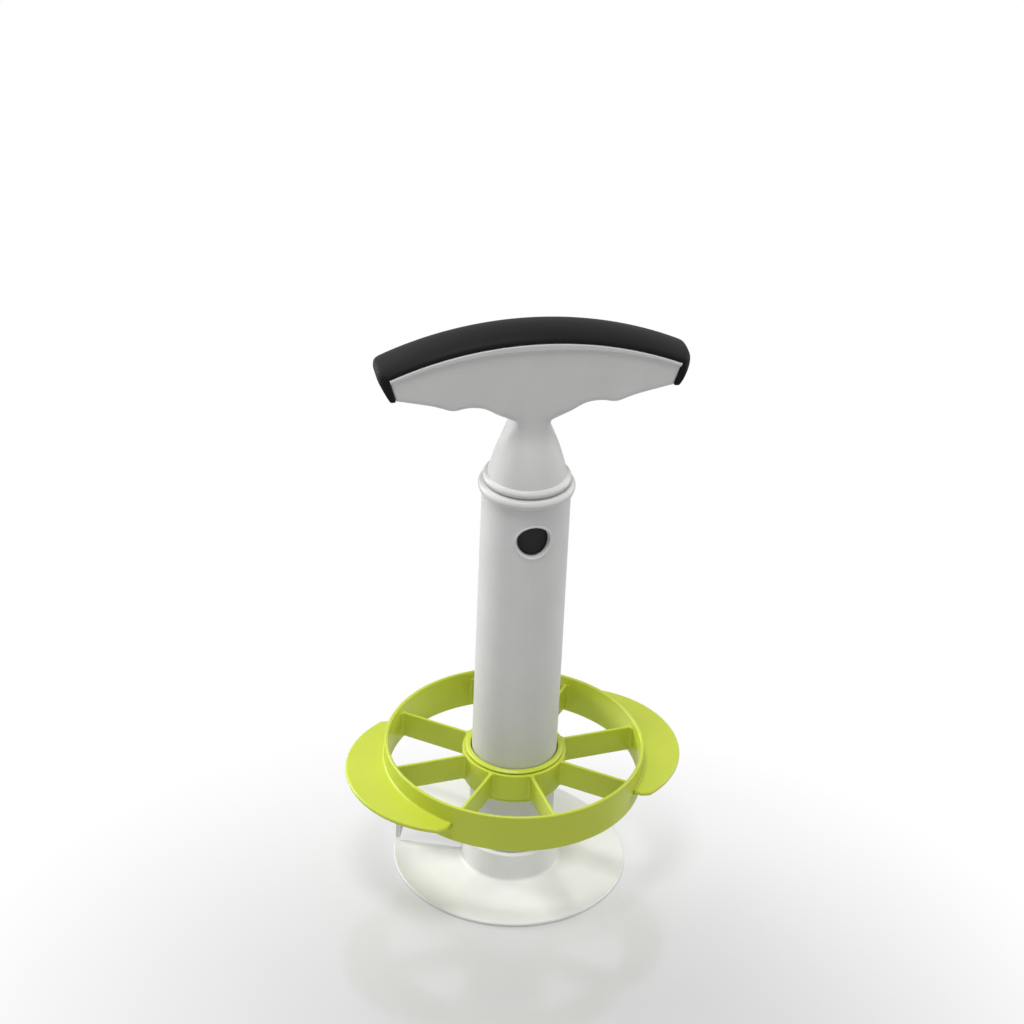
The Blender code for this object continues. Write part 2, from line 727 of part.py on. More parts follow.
def plug_half(name, side, parts, cutters):
    """Make one half of the plug: it guides a button and holds half of the nut's pocket."""
    half = turned(name, [
        (0.0, SPIGOT_TOP_Z),
        (SPIGOT_RADIUS, SPIGOT_TOP_Z),
        (SPIGOT_RADIUS, TUBE_LENGTH),
        (PLUG_RADIUS, TUBE_LENGTH),
        (PLUG_RADIUS, PLUG_BOTTOM_Z),
        (0.0, PLUG_BOTTOM_Z),
    ], ROUND_STEPS, parts, closed=False)
    height = SPIGOT_TOP_Z - PLUG_BOTTOM_Z + 2 * OVERRUN
    depth = PLUG_RADIUS + OVERRUN
    middle_z = (SPIGOT_TOP_Z + PLUG_BOTTOM_Z) / 2
    away = box(name + "_other_side", (2 * depth, depth, height),
               (0.0, side * (GAP / 2 - depth / 2), middle_z), cutters)
    cut(half, away)
    chamber_end = PLUG_RADIUS - BUTTON_FLANGE_REACH + GAP
    cut(half, button_cutter(name + "_chamber", BUTTON_FLANGE_RADIUS + GAP, side, cutters,
                            -OVERRUN, chamber_end))
    cut(half, button_cutter(name + "_port", BUTTON_HOLE_RADIUS, side, cutters, 0.0, depth))
    pocket = 2 * (SPRING_PLATE_HALF_WIDTH + GAP)
    cut(half, box(name + "_plate_pocket", (pocket, SPRING_PLATE_THICKNESS + 2 * GAP, pocket),
                  (0.0, 0.0, BUTTON_Z), cutters))
    bore_low = SPIGOT_TOP_Z - SPIGOT_HEIGHT
    cut(half, cylinder(name + "_screw_bore", SCREW_RADIUS + GAP, 2 * SPIGOT_HEIGHT,
                       (0.0, 0.0, bore_low + SPIGOT_HEIGHT), "Z", SMALL_STEPS, cutters))
    cut(half, cylinder(name + "_nut_pocket", NUT_RADIUS + 2 * GAP, NUT_HEIGHT + 2 * GAP,
                       (0.0, 0.0, TUBE_LENGTH + NUT_RISE + NUT_HEIGHT / 2), "Z", HEX_SIDES, cutters))
    hole_depth = CAP_SCREW_LENGTH + GAP
    cut(half, cylinder(name + "_cap_screw_hole", CAP_SCREW_RADIUS + GAP, 2 * hole_depth,
                       (0.0, side * CAP_SCREW_OFFSET, PLUG_BOTTOM_Z), "Z", SMALL_STEPS, cutters))
    return half


def plug_cap(parts, cutters):
    """Make the disc that closes the plug's lower end."""
    top = PLUG_BOTTOM_Z - GAP
    cap = cylinder("plug_cap", PLUG_RADIUS, CAP_THICKNESS, (0.0, 0.0, top - CAP_THICKNESS / 2),
                   "Z", ROUND_STEPS, parts)
    for side in (-1, 1):
        hole = cylinder("plug_cap_hole", CAP_SCREW_RADIUS + GAP, CAP_THICKNESS + 2 * OVERRUN,
                        (0.0, side * CAP_SCREW_OFFSET, top), "Z", SMALL_STEPS, cutters)
        cut(cap, hole)
    return cap


def release_button(name, side, parts, cutters):
    """Make one button: a round face that follows the bore, a flange and a spring pocket."""
    back = PLUG_RADIUS - BUTTON_LENGTH
    flange_far = PLUG_RADIUS - BUTTON_FLANGE_REACH
    flange_near = flange_far - BUTTON_FLANGE_THICKNESS
    button = turned(name, [
        (0.0, PLUG_RADIUS + BUTTON_DISH),
        (BUTTON_RADIUS, PLUG_RADIUS + BUTTON_DISH),
        (BUTTON_RADIUS, flange_far),
        (BUTTON_FLANGE_RADIUS, flange_far),
        (BUTTON_FLANGE_RADIUS, flange_near),
        (BUTTON_RADIUS, flange_near),
        (BUTTON_RADIUS, back),
        (SPRING_RADIUS + 2 * SPRING_WIRE_RADIUS + GAP, back),
        (SPRING_RADIUS + 2 * SPRING_WIRE_RADIUS + GAP, back + SPRING_POCKET_DEPTH),
        (0.0, back + SPRING_POCKET_DEPTH),
    ], SMALL_STEPS * 2, parts, closed=False)
    tilt = Matrix.Rotation(math.radians(-90.0 * side), 4, "X")
    button.matrix_world = Matrix.Translation((0.0, 0.0, BUTTON_Z)) @ tilt
    bore = turned(name + "_face_trim", [
        (PLUG_RADIUS + 2 * OVERRUN, BUTTON_Z + PLUG_RADIUS),
        (PLUG_RADIUS + 2 * OVERRUN, BUTTON_Z - PLUG_RADIUS),
        (PLUG_RADIUS, BUTTON_Z - PLUG_RADIUS),
        (PLUG_RADIUS, BUTTON_Z + PLUG_RADIUS),
    ], ROUND_STEPS * 2, cutters)
    cut(button, bore)
    return button


def spring_plate(parts, cutters):
    """Make the plate between the springs, with a pin on each side."""
    width = 2 * SPRING_PLATE_HALF_WIDTH
    middle = box("spring_plate", (width, SPRING_PLATE_THICKNESS, width), (0.0, 0.0, BUTTON_Z), parts)
    reach = SPRING_PLATE_THICKNESS + 2 * SPRING_PIN_LENGTH
    join(middle, cylinder("spring_plate_pins", SPRING_PIN_RADIUS, reach, (0.0, 0.0, BUTTON_Z), "Y",
                          SMALL_STEPS, cutters))
    return middle


def button_spring(name, side, parts):
    """Make one coil spring between the plate and a button's pocket."""
    near = SPRING_PLATE_THICKNESS / 2 + GAP + SPRING_WIRE_RADIUS
    far = PLUG_RADIUS - BUTTON_LENGTH + SPRING_POCKET_DEPTH - GAP - SPRING_WIRE_RADIUS
    count = SPRING_CURLS * SPRING_STEPS
    points = []
    for i in range(count + 1):
        angle = math.tau * i / SPRING_STEPS
        y = side * (near + (far - near) * i / count)
        x = SPRING_RADIUS * math.cos(angle)
        z = BUTTON_Z + SPRING_RADIUS * math.sin(angle)
        points.append(Vector((x, y, z)))
    least = min((b - a).length for a, b in zip(points, points[SPRING_STEPS:])) - 2 * SPRING_WIRE_RADIUS
    print(name, "least gap between curls, m:", round(least, 6))
    curve = bpy.data.curves.new(name, "CURVE")
    curve.dimensions = "3D"
    curve.bevel_depth = SPRING_WIRE_RADIUS
    curve.bevel_resolution = 1
    curve.use_fill_caps = True
    spline = curve.splines.new("POLY")
    spline.points.add(count)
    for knot, point in zip(spline.points, points):
        knot.co = (*point, 1.0)
    return curve_to_mesh(name, curve, Matrix.Identity(4), parts)


def screw(name, radius, head_radius, head_height, length, socket_radius, head_z, place, parts, cutters):
    """Make a screw with a six-sided socket; its shank runs down from head_z before it is placed."""
    body = turned(name, [
        (0.0, head_z + head_height),
        (head_radius - head_height / 3, head_z + head_height),
        (head_radius, head_z + head_height / 2),
        (head_radius, head_z),
        (radius, head_z),
        (radius, head_z - length + radius),
        (radius / 2, head_z - length),
        (0.0, head_z - length),
    ], SMALL_STEPS, parts, closed=False)
    body.matrix_world = place
    socket = cylinder(name + "_socket", socket_radius, head_height, (0.0, 0.0, 0.0), "Z", HEX_SIDES,
                      cutters)
    socket.matrix_world = place @ Matrix.Translation((0.0, 0.0, head_z + head_height))
    cut(body, socket)
    return body


def plug_screw(parts, cutters):
    """Make the screw that clamps plug, collar and handle together."""
    head_z = BODY_FLOOR_Z + GAP
    length = head_z - TUBE_LENGTH - GAP
    return screw("plug_screw", SCREW_RADIUS, SCREW_HEAD_RADIUS, SCREW_HEAD_HEIGHT, length,
                 SCREW_SOCKET_RADIUS, head_z, Matrix.Identity(4), parts, cutters)


def cap_screw(name, side, parts, cutters):
    """Make a small screw that holds the plug's cap from below."""
    head_z = PLUG_BOTTOM_Z - 2 * GAP - CAP_THICKNESS
    flip = Matrix.Translation((0.0, side * CAP_SCREW_OFFSET, head_z)) @ Matrix.Rotation(math.pi, 4, "X")
    return screw(name, CAP_SCREW_RADIUS, CAP_SCREW_HEAD_RADIUS, CAP_SCREW_HEAD_HEIGHT,
                 CAP_SCREW_LENGTH, CAP_SCREW_SOCKET_RADIUS, 0.0, flip, parts, cutters)


def plug_nut(parts, cutters):
    """Make the nut that is trapped between the plug's halves."""
    centre = (0.0, 0.0, TUBE_LENGTH + NUT_RISE + NUT_HEIGHT / 2)
    nut = cylinder("plug_nut", NUT_RADIUS, NUT_HEIGHT, centre, "Z", HEX_SIDES, parts)
    cut(nut, cylinder("plug_nut_bore", SCREW_RADIUS + GAP, NUT_HEIGHT + 2 * OVERRUN, centre, "Z",
                      SMALL_STEPS, cutters))
    return nut


def wing_outline(side):
    """Return one wing seen from above: a round lobe with short straight ends, rooted in the band."""
    half = math.radians(WING_HALF_ANGLE_DEG)
    root = WEDGER_RADIUS - WEDGER_WALL / 2
    top = WEDGER_RADIUS + WING_WIDTH
    tip = WEDGER_RADIUS + WING_TIP_WIDTH
    centre = (top ** 2 - tip ** 2) / (2 * (top - tip * math.cos(half)))
    radius = top - centre
    sweep = math.atan2(tip * math.sin(half), tip * math.cos(half) - centre)
    lobe = []
    for i in range(ARC_STEPS + 1):
        angle = (sweep - WING_CORNER / radius) * (2 * i / ARC_STEPS - 1)
        lobe.append((centre + radius * math.cos(angle), radius * math.sin(angle)))
    inner = tip - WING_CORNER
    lobe.insert(0, (inner * math.cos(half), -inner * math.sin(half)))
    lobe.append((inner * math.cos(half), inner * math.sin(half)))
    base = []
    for i in range(ARC_STEPS // 2 + 1):
        angle = half * (1 - 4 * i / ARC_STEPS)
        base.append((root * math.cos(angle), root * math.sin(angle)))
    return [(side * x, side * y) for x, y in lobe + base]


def wedger_ring(parts, cutters, turn):
    """Make the band with its two wings."""
    ring = turned("wedger_ring", [
        (WEDGER_RADIUS - WEDGER_RIM_ROUNDING, WEDGER_TOP_Z),
        (WEDGER_RADIUS, WEDGER_TOP_Z - WEDGER_RIM_ROUNDING),
        (WEDGER_RADIUS - WEDGER_DRAFT, WEDGER_BOTTOM_Z),
        (WEDGER_INNER_RADIUS - WEDGER_DRAFT, WEDGER_BOTTOM_Z),
        (WEDGER_INNER_RADIUS, WEDGER_TOP_Z - WEDGER_RIM_ROUNDING),
        (WEDGER_INNER_RADIUS + WEDGER_RIM_ROUNDING, WEDGER_TOP_Z),
    ], RING_STEPS, parts)
    ring.matrix_world = turn
    level = WEDGER_TOP_Z - WING_DROP - WING_THICKNESS / 2
    lay_flat = Matrix.Rotation(math.radians(-90.0), 4, "X")
    for side, name in ((1, "wing_right"), (-1, "wing_left")):
        place = turn @ Matrix.Translation((0.0, 0.0, level)) @ lay_flat
        join(ring, plate(name, wing_outline(side), WING_THICKNESS / 2, cutters, place, WING_ROUNDING))
    return ring


def wedger_hub(parts, turn):
    """Make the ring that holds the blades' inner ends."""
    inner = SLEEVE_RADIUS + GAP
    bottom = WEDGER_BOTTOM_Z + SLEEVE_FLANGE_HEIGHT + GAP
    top = WEDGER_TOP_Z - BLADE_DROP
    hub = turned("wedger_hub", [
        (WEDGER_HUB_RADIUS, top),
        (WEDGER_HUB_RADIUS, bottom),
        (inner, bottom),
        (inner, top),
    ], ROUND_STEPS, parts)
    hub.matrix_world = turn
    return hub


def wedger_sleeve(parts):
    """Make the bush that runs on the tube and carries the wedger's hub on its flange."""
    inner = TUBE_RADIUS + SLIDE_CLEARANCE
    top = WEDGER_TOP_Z - BLADE_DROP + GAP + SLEEVE_FLANGE_HEIGHT
    flange_top = WEDGER_BOTTOM_Z + SLEEVE_FLANGE_HEIGHT
    bead = SLEEVE_RADIUS + WEDGER_HUB_WALL / 2
    return turned("wedger_sleeve", [
        (SLEEVE_RADIUS, top),
        (bead, top - SLEEVE_FLANGE_HEIGHT / 2),
        (bead, top - SLEEVE_FLANGE_HEIGHT),
        (SLEEVE_RADIUS, top - SLEEVE_FLANGE_HEIGHT),
        (SLEEVE_RADIUS, flange_top),
        (SLEEVE_FLANGE_RADIUS, flange_top),
        (SLEEVE_FLANGE_RADIUS, WEDGER_BOTTOM_Z),
        (inner, WEDGER_BOTTOM_Z),
        (inner, top),
    ], ROUND_STEPS, parts)


def wedger_blade(index, parts, turn):
    """Make one radial blade, with its cutting edge down."""
    near = WEDGER_HUB_RADIUS + GAP
    far = WEDGER_INNER_RADIUS - WEDGER_DRAFT - GAP
    bottom = WEDGER_BOTTOM_Z + SLEEVE_FLANGE_HEIGHT + BLADE_RISE
    top = WEDGER_TOP_Z - BLADE_DROP
    half = BLADE_THICKNESS / 2
    edge = BLADE_EDGE_THICKNESS / 2
    outline = [
        (-half, top), (-half, bottom + BLADE_EDGE_HEIGHT), (-edge, bottom),
        (edge, bottom), (half, bottom + BLADE_EDGE_HEIGHT), (half, top),
    ]
    spin = Matrix.Rotation(math.tau * index / BLADE_COUNT, 4, "Z")
    along_x = Matrix.Rotation(math.radians(90.0), 4, "Z")
    place = turn @ spin @ Matrix.Translation(((near + far) / 2, 0.0, 0.0)) @ along_x
    return plate("wedger_blade_%d" % (index + 1), outline, (far - near) / 2, parts, place)


def new_materials():
    return {
        "tube": new_material("tube_grey_plastic", (0.47, 0.47, 0.46), 0.42, 0.0),
        "disc": new_material("disc_white_plastic", (0.78, 0.78, 0.76), 0.35, 0.0),
        "handle": new_material("handle_grey_plastic", (0.43, 0.43, 0.42), 0.40, 0.0),
        "grip": new_material("grip_black_rubber", (0.020, 0.019, 0.018), 0.75, 0.0),
        "button": new_material("button_black_plastic", (0.022, 0.022, 0.022), 0.55, 0.0),
        "inner": new_material("inner_grey_plastic", (0.30, 0.30, 0.30), 0.50, 0.0),
        "wedger": new_material("wedger_green_plastic", (0.50, 0.62, 0.05), 0.35, 0.0),
        "steel": new_material("steel", (0.55, 0.55, 0.56), 0.30, 1.0),
    }


def build_corer(parts, cutters, looks):
    finish(core_tube(parts, cutters), looks["tube"])
    finish(slicing_base(parts, cutters), looks["disc"])


def build_handle(parts, cutters, looks):
    finish(handle_body(parts, cutters), looks["handle"])
    finish(tube_collar(parts), looks["handle"])
    finish(soft_grip(parts, cutters), looks["grip"])
    finish(grip_carrier(parts), looks["inner"])
    finish(plug_cap(parts, cutters), looks["inner"])
    finish(plug_screw(parts, cutters), looks["steel"])
    finish(plug_nut(parts, cutters), looks["steel"])
    finish(spring_plate(parts, cutters), looks["inner"])
    for side, place in ((-1, "front"), (1, "rear")):
        finish(plug_half("plug_half_" + place, side, parts, cutters), looks["inner"])
        finish(cap_screw("cap_screw_" + place, side, parts, cutters), looks["steel"])
        finish(button_spring("button_spring_" + place, side, parts), looks["steel"])
        button = finish(release_button("release_button_" + place, side, parts, cutters), looks["button"])
        set_origin(button, (0.0, side * PLUG_RADIUS, BUTTON_Z))


def build_wedger(parts, cutters, looks):
    turn = Matrix.Rotation(math.radians(WEDGER_TURN_DEG), 4, "Z")
    finish(wedger_sleeve(parts), looks["wedger"])
    finish(wedger_hub(parts, turn), looks["wedger"])
    finish(wedger_ring(parts, cutters, turn), looks["wedger"])
    for index in range(BLADE_COUNT):
        finish(wedger_blade(index, parts, turn), looks["wedger"])


def main():
    clear_scene()
    parts = new_collection("pineapple_slicer")
    cutters = new_collection("cutters")
    looks = new_materials()
    build_corer(parts, cutters, looks)
    build_handle(parts, cutters, looks)
    build_wedger(parts, cutters, looks)


main()
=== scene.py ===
"""Looks of the pineapple slicer: finer shapes, materials, floor, lights and camera.

Everything is in metres, Z up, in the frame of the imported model: the origin is on the corer
tube's axis at the level that the slicing disc stands on, and X runs along the handle.
"""
import json
from math import acos, atan2, copysign, cos, exp, log1p, pi, radians, sin, sqrt, tan, tau

import bmesh
import bpy
import numpy as np
from mathutils import Matrix, Vector

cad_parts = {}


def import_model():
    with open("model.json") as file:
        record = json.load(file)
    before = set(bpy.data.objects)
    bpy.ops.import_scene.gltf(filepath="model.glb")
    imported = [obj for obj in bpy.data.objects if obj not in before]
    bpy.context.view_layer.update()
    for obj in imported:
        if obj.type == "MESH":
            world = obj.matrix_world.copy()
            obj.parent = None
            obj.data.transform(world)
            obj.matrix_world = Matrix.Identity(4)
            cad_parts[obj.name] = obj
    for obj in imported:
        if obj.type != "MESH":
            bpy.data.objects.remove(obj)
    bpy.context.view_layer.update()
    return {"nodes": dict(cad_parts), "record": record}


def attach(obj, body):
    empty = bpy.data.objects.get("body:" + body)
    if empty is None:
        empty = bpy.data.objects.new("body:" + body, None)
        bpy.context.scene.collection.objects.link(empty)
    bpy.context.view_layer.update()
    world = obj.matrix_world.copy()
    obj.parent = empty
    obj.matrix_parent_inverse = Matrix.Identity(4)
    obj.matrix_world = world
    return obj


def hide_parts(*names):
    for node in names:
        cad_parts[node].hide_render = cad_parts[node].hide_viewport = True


# Camera, fitted to the photograph
CAMERA_PLACE = (-0.2011, -0.8710, 0.6874)
CAMERA_RIGHT = (0.9796, -0.1971, 0.0385)
CAMERA_UP = (0.0688, 0.5095, 0.8577)
CAMERA_BACK = (-0.1887, -0.8376, 0.5127)
CAMERA_LENS_MM = 101.99
CAMERA_SENSOR_MM = 36.0

# Clearances and overlaps
GAP = 0.0003
SLIDE_CLEARANCE = 0.0004
OVERRUN = 0.0030
SEAT = 0.0003
SMALL_EDGE = 0.0003
MERGE_DISTANCE = 0.000002

# Corer tube and its buttons
TUBE_LENGTH = 0.1651
TUBE_RADIUS = 0.0160
TUBE_WALL = 0.0020
TUBE_LIP = 0.0004
TOOTH_HEIGHT = 0.0032
TOOTH_LAND = 0.0013
TOOTH_COUNT = 16
BUTTON_Z = 0.1505
BUTTON_RADIUS = 0.0061
BUTTON_HOLE_RADIUS = 0.0064
BUTTON_FLANGE_RADIUS = 0.0070
BUTTON_FLANGE_THICKNESS = 0.0013
BUTTON_FLANGE_REACH = 0.0040
BUTTON_LENGTH = 0.0067
BUTTON_EDGE = 0.0005
BUTTON_DISH = 0.0003
SPRING_POCKET_RADIUS = 0.0034
SPRING_POCKET_DEPTH = 0.0035
BEAD_INNER_RADIUS = 0.0062
BEAD_WIDTH = 0.0009
BEAD_RISE = 0.0003

# Plug inside the tube's mouth
PLUG_RADIUS = 0.0137
PLUG_BOTTOM_Z = 0.1380
PLUG_CAP_THICKNESS = 0.0012
PLUG_CHAMBER_RADIUS = 0.0073
PLUG_CHAMBER_END = 0.0100
PLATE_POCKET_WIDTH = 0.0182
PLATE_POCKET_DEPTH = 0.0022
SPIGOT_RADIUS = 0.0100
SPIGOT_TOP_Z = 0.1721
NUT_POCKET_RADIUS = 0.0046
NUT_POCKET_HEIGHT = 0.0036
NUT_MIDDLE_Z = 0.1686
# each screw: shank radius, head radius, head height and socket radius
SCREW_SIZES = (0.0019, 0.0038, 0.0024, 0.0017)
SCREW_HEAD_Z = 0.1988
SCREW_LENGTH = 0.0334
SCREW_DOME_SHARE = 0.4
CAP_SCREW_SIZES = (0.0009, 0.0018, 0.0010, 0.0008)
CAP_SCREW_LENGTH = 0.0050
CAP_SCREW_OFFSET = 0.0085
CAP_SCREW_HOLE_RADIUS = 0.0012

# Slicing disc
DISC_RADIUS = 0.0445
DISC_THICKNESS = 0.0014
DISC_EDGE_THICKNESS = 0.0004
DISC_FILLET = 0.0012
SLICE_PITCH = 0.0110
HUB_INNER_RADIUS = 0.0163
HUB_OUTER_RADIUS = 0.0186
HUB_TOP_Z = 0.0134
HUB_FOOT_Z = 0.0006
HUB_EDGE = 0.0006
RIM_CUTTER_WALL = 0.0016
CUT_START_DEG = 160.0
DISC_SWEEP_DEG = 359.5
LEVEL_SWEEP_DEG = 220.0
EDGE_TAPER_DEG = 9.0
RIM_CUTTER_SWEEP_DEG = 26.0

# Collar ring and the neck with its own ring
SPIGOT_BORE_RADIUS = 0.0103
SPIGOT_SOCKET_TOP_Z = 0.1724
COLLAR_BOTTOM_Z = 0.1634
COLLAR_SOCKET_TOP_Z = 0.1654
COLLAR_TOP_Z = 0.1676
COLLAR_SOCKET_RADIUS = 0.0163
COLLAR_PATH = (
    (0.0149, 0.1678), (0.0166, 0.1674), (0.0174, 0.1664), (0.0174, 0.1654), (0.0171, 0.1644),
)
COLLAR_FOOT_RADIUS = 0.01645
COLLAR_FOOT_HEIGHT = 0.0009
NECK_BOTTOM_Z = 0.1679
NECK_RING_TOP_Z = 0.1707
NECK_TOP_Z = 0.1901
NECK_TOP_RADIUS = 0.0076
NECK_GROOVE_RADIUS = 0.0143
NECK_SWELL = 0.0006
NECK_RISE = 0.0072
NECK_FOOT_DEPTH = 0.0010
NECK_FLATTENING = 5.0
NECK_JOIN_Z = 0.1954
NECK_LEAST_RADIUS = 0.0068
NECK_SQUARENESS = 3.2
NECK_SOFTNESS = 0.0006
NECK_RING_PATH = (
    (0.0138, 0.1709), (0.0149, 0.1708), (0.0158, 0.1699), (0.0158, 0.16885), (0.0149, 0.1679),
)

# Handle body
BODY_HALF_LENGTH = 0.0518
BODY_HALF_DEPTH = 0.0083
BODY_HEIGHT = 0.0359
BODY_APEX_Z = 0.2260
BODY_CROWN = 0.0108
BODY_ROUNDING = 0.0012
BODY_END_DEPTH = 0.0030
BODY_END_REACH = 0.0001
BODY_WALL = 0.0020
BODY_FLOOR_Z = 0.1985
BODY_VOXEL = 0.00042
LIP_PROUD = 0.0006
LIP_HEIGHT = 0.0026
LIP_END_HEIGHT = 0.0013
LIP_ROUNDING = 0.0004
LIP_RAISE = 0.0004
STUB_DEPTH = 0.0012
SCREW_BORE_RADIUS = 0.0022
SCREW_SEAT_RADIUS = 0.0044
JOIN_REACH = 0.0070
JOIN_FADE = 2.2
JOIN_Z = 0.1915

# Soft grip
GRIP_HALF_LENGTH = 0.0556
GRIP_HALF_DEPTH = 0.0088
GRIP_THICKNESS = 0.0036
GRIP_RIM_HEIGHT = 0.0006
GRIP_GAP = 0.00005
GRIP_END_THICKNESS = 0.0022
GRIP_CORNER = 0.0050
GRIP_VOXEL = 0.00033
GRIP_CORNER_LOW_Z = 0.2095

# Wedger
WEDGER_BOTTOM_Z = 0.0386
WEDGER_TOP_Z = 0.0539
WEDGER_RADIUS = 0.04888
WEDGER_WALL = 0.0014
WEDGER_DRAFT = 0.0003
WEDGER_TURN = Matrix.Rotation(radians(8.0), 4, "Z")
WEDGER_RIM = 0.0006
WING_WIDTH = 0.01567
WING_TIP_WIDTH = 0.0052
WING_THICKNESS = 0.0018
WING_DROP = 0.0075
WING_ROUNDING = 0.0008
WING_CORNER = 0.0020
WING_FILLET = 0.0009
WING_FILLET_FADE = 0.3
WING_HALF_ANGLE = radians(43.0)
BLADE_COUNT = 8
BLADE_BOTTOM_Z = 0.0402
BLADE_TOP_Z = 0.0509
BLADE_THICKNESS = 0.0012
BLADE_EDGE_THICKNESS = 0.0003
BLADE_EDGE_HEIGHT = 0.0025
BLADE_TOP_ROUNDING = 0.0004
BLADE_FILLET = 0.0011
SLEEVE_OUTER_RADIUS = 0.0176
SLEEVE_BEAD_RADIUS = 0.0184
SLEEVE_FLANGE_RADIUS = 0.0190
SLEEVE_FLANGE_HEIGHT = 0.0010
SLEEVE_TOP_Z = 0.0522
WEDGER_HUB_RADIUS = 0.0195
WEDGER_HUB_BOTTOM_Z = 0.0399

# The two sides that have a button, by name and by direction along Y
SIDES = (("front", -1), ("rear", 1))

# Mesh steps
ROUND_STEPS = 192
TUBE_STEPS = 320
RING_STEPS = 288
BEAD_STEPS = 128
ARC_STEPS = 96
SCREW_STEPS = 64
HEX_SIDES = 6
PATH_STEPS = 14
FILLET_STEPS = 5
CROWN_STEPS = 360
GRIP_SEGMENTS = 20
SMOOTH_ANGLE = radians(32.0)
FLAT_SHARE = 0.02
ROUND_TOLERANCE = SMALL_EDGE / 10
FLAT_FACE_WEIGHT = 90

# Smoothing: steps towards a point's neighbours, or in and back out, and rounds
INWARDS = (0.50,)
IN_AND_OUT = (0.50, -0.51)
SOFTEN_ROUNDS = 4
BODY_PLAIN_ROUNDS = 6
GRIP_PLAIN_ROUNDS = 8
GRIP_END_ROUNDS = 30
JOIN_ROUNDS = 60

# Quarter turns about X: a plate's outline stands up, or its depth becomes its height
STAND_UP = Matrix.Rotation(radians(90.0), 4, "X")
LAY_FLAT = Matrix.Rotation(radians(-90.0), 4, "X")

# Underside of the handle, from the neck outwards, in shares of BODY_HALF_LENGTH and BODY_HEIGHT
UNDERSIDE_SHARES = (
    (0.126, 0.142), (0.178, 0.179), (0.217, 0.207), (0.263, 0.242), (0.319, 0.290),
    (0.368, 0.318), (0.426, 0.330), (0.478, 0.327), (0.542, 0.309), (0.580, 0.312),
    (0.648, 0.348), (0.729, 0.384), (0.896, 0.440), (0.948, 0.457),
)
STUB_WIDTH_SHARE = 0.5
CAVITY_REACH_SHARE = 0.90

# Plastics: slot, name, linear colour, roughness, gloss and subsurface
PLASTICS = (
    ("tube_plastic", "tube_grey", (0.650, 0.650, 0.642), 0.42, 0.4, 0.0),
    ("disc_plastic", "disc_white", (0.800, 0.800, 0.790), 0.34, 0.4, 0.0),
    ("handle_plastic", "handle_grey", (0.620, 0.620, 0.610), 0.40, 0.4, 0.0),
    ("wedger_plastic", "wedger_green", (0.535, 0.615, 0.050), 0.36, 0.4, 0.06),
    ("button_plastic", "button_black", (0.019, 0.019, 0.019), 0.50, 0.2, 0.0),
    ("inner_plastic", "inner_grey", (0.300, 0.300, 0.300), 0.48, 0.4, 0.0),
)
PLASTIC_IOR = 1.49
SUBSURFACE_RADIUS = (1.0, 0.9, 0.5)
SUBSURFACE_SCALE = 0.0012

# Mix node: its sockets for factor and both colours, and for the mixed colour
MIX_INPUTS = (0, 6, 7)
MIX_OUTPUT = 2

# Patterns: size and detail of each noise, and the range that is used
NOISE_RANGE = (0.3, 0.7)
BLOTCHES = (0.020, 3.0)
GRAIN = (0.00035, 2.0)
WAVES = (0.0060, 1.0)
SCUFFS = (0.0008, 3.0, (1.0, 1.0, 0.06))
SCUFF_RANGE = (0.62, 0.72)
WAVES_ROUGHNESS = (-0.03, 0.05)
# Shades of the plain colour: blotches run between two, the others give amount and shade; the crevice one
# is painted shade
BLOTCH_SHADES = (0.965, 1.03)
EDGE_SHADE = (0.4, 1.15)
SCUFF_SHADE = (0.16, 0.86)
CREVICE_PAINTED_SHADE = (0.7, 0.55)
# Bumps: distance and strength
WAVES_BUMP = (0.00030, 0.25)
GRAIN_BUMP = (0.00005, 0.60)
SCUFFS_BUMP = (0.00002, 0.20)
# Edges and crevices: reach, samples, and the range over which they fade; the crevice mask lays painted
# shade in gaps and inner corners
EDGE_REACH = 0.0004
EDGE_SAMPLES = 4
EDGE_LIKENESS = (0.75, 0.97)
CREVICE_REACH = 0.0011
CREVICE_SAMPLES = 8
CREVICE_OPENNESS = (0.35, 0.85)

# Rubber of the grip
GRIP_BLACK = (0.0075, 0.0072, 0.0070)
RUBBER_CLOUDS = (0.012, 4.0)
RUBBER_CLOUD_RANGE = (0.35, 0.70)
RUBBER_CLOUD_SHADES = (0.85, 1.35)
RUBBER_EDGE_SHADE = (0.5, 2.0)
RUBBER_ROUGHNESS = (0.50, 0.60)
STIPPLE_SIZE = 0.00055
STIPPLE_BUMP = (0.00005, 0.30)
RUBBER_WAVES = (0.0040, 2.0)
RUBBER_WAVES_BUMP = (0.00008, 0.12)
RUBBER_GLOSS = 0.09
RUBBER_SHEEN = 0.005
RUBBER_SHEEN_ROUGHNESS = 0.5

# Steel of the screws and springs
STEEL_GREY = (0.560, 0.560, 0.570)
STEEL_MARKS = (0.0004, 4.0, (1.0, 1.0, 0.15))
STEEL_SHADES = (0.9, 1.1)
STEEL_ROUGHNESS = (0.22, 0.38)
STEEL_BUMP = (0.00002, 0.3)

# Floor and lights
FLOOR_SIZE = 6.0
FLOOR_GREY = (0.560, 0.560, 0.572)
FLOOR_CLEAR_CENTRE = (-0.02, -0.13, 0.0)
FLOOR_CLEAR_RADIUS = 0.05
FLOOR_WHITE_RADIUS = 0.22
FLOOR_PATTERN = (0.02, 2.0)
FLOOR_ROUGHNESS = (0.12, 0.16)
FLOOR_IOR = 1.8
AMBIENT_STRENGTH = 0.32
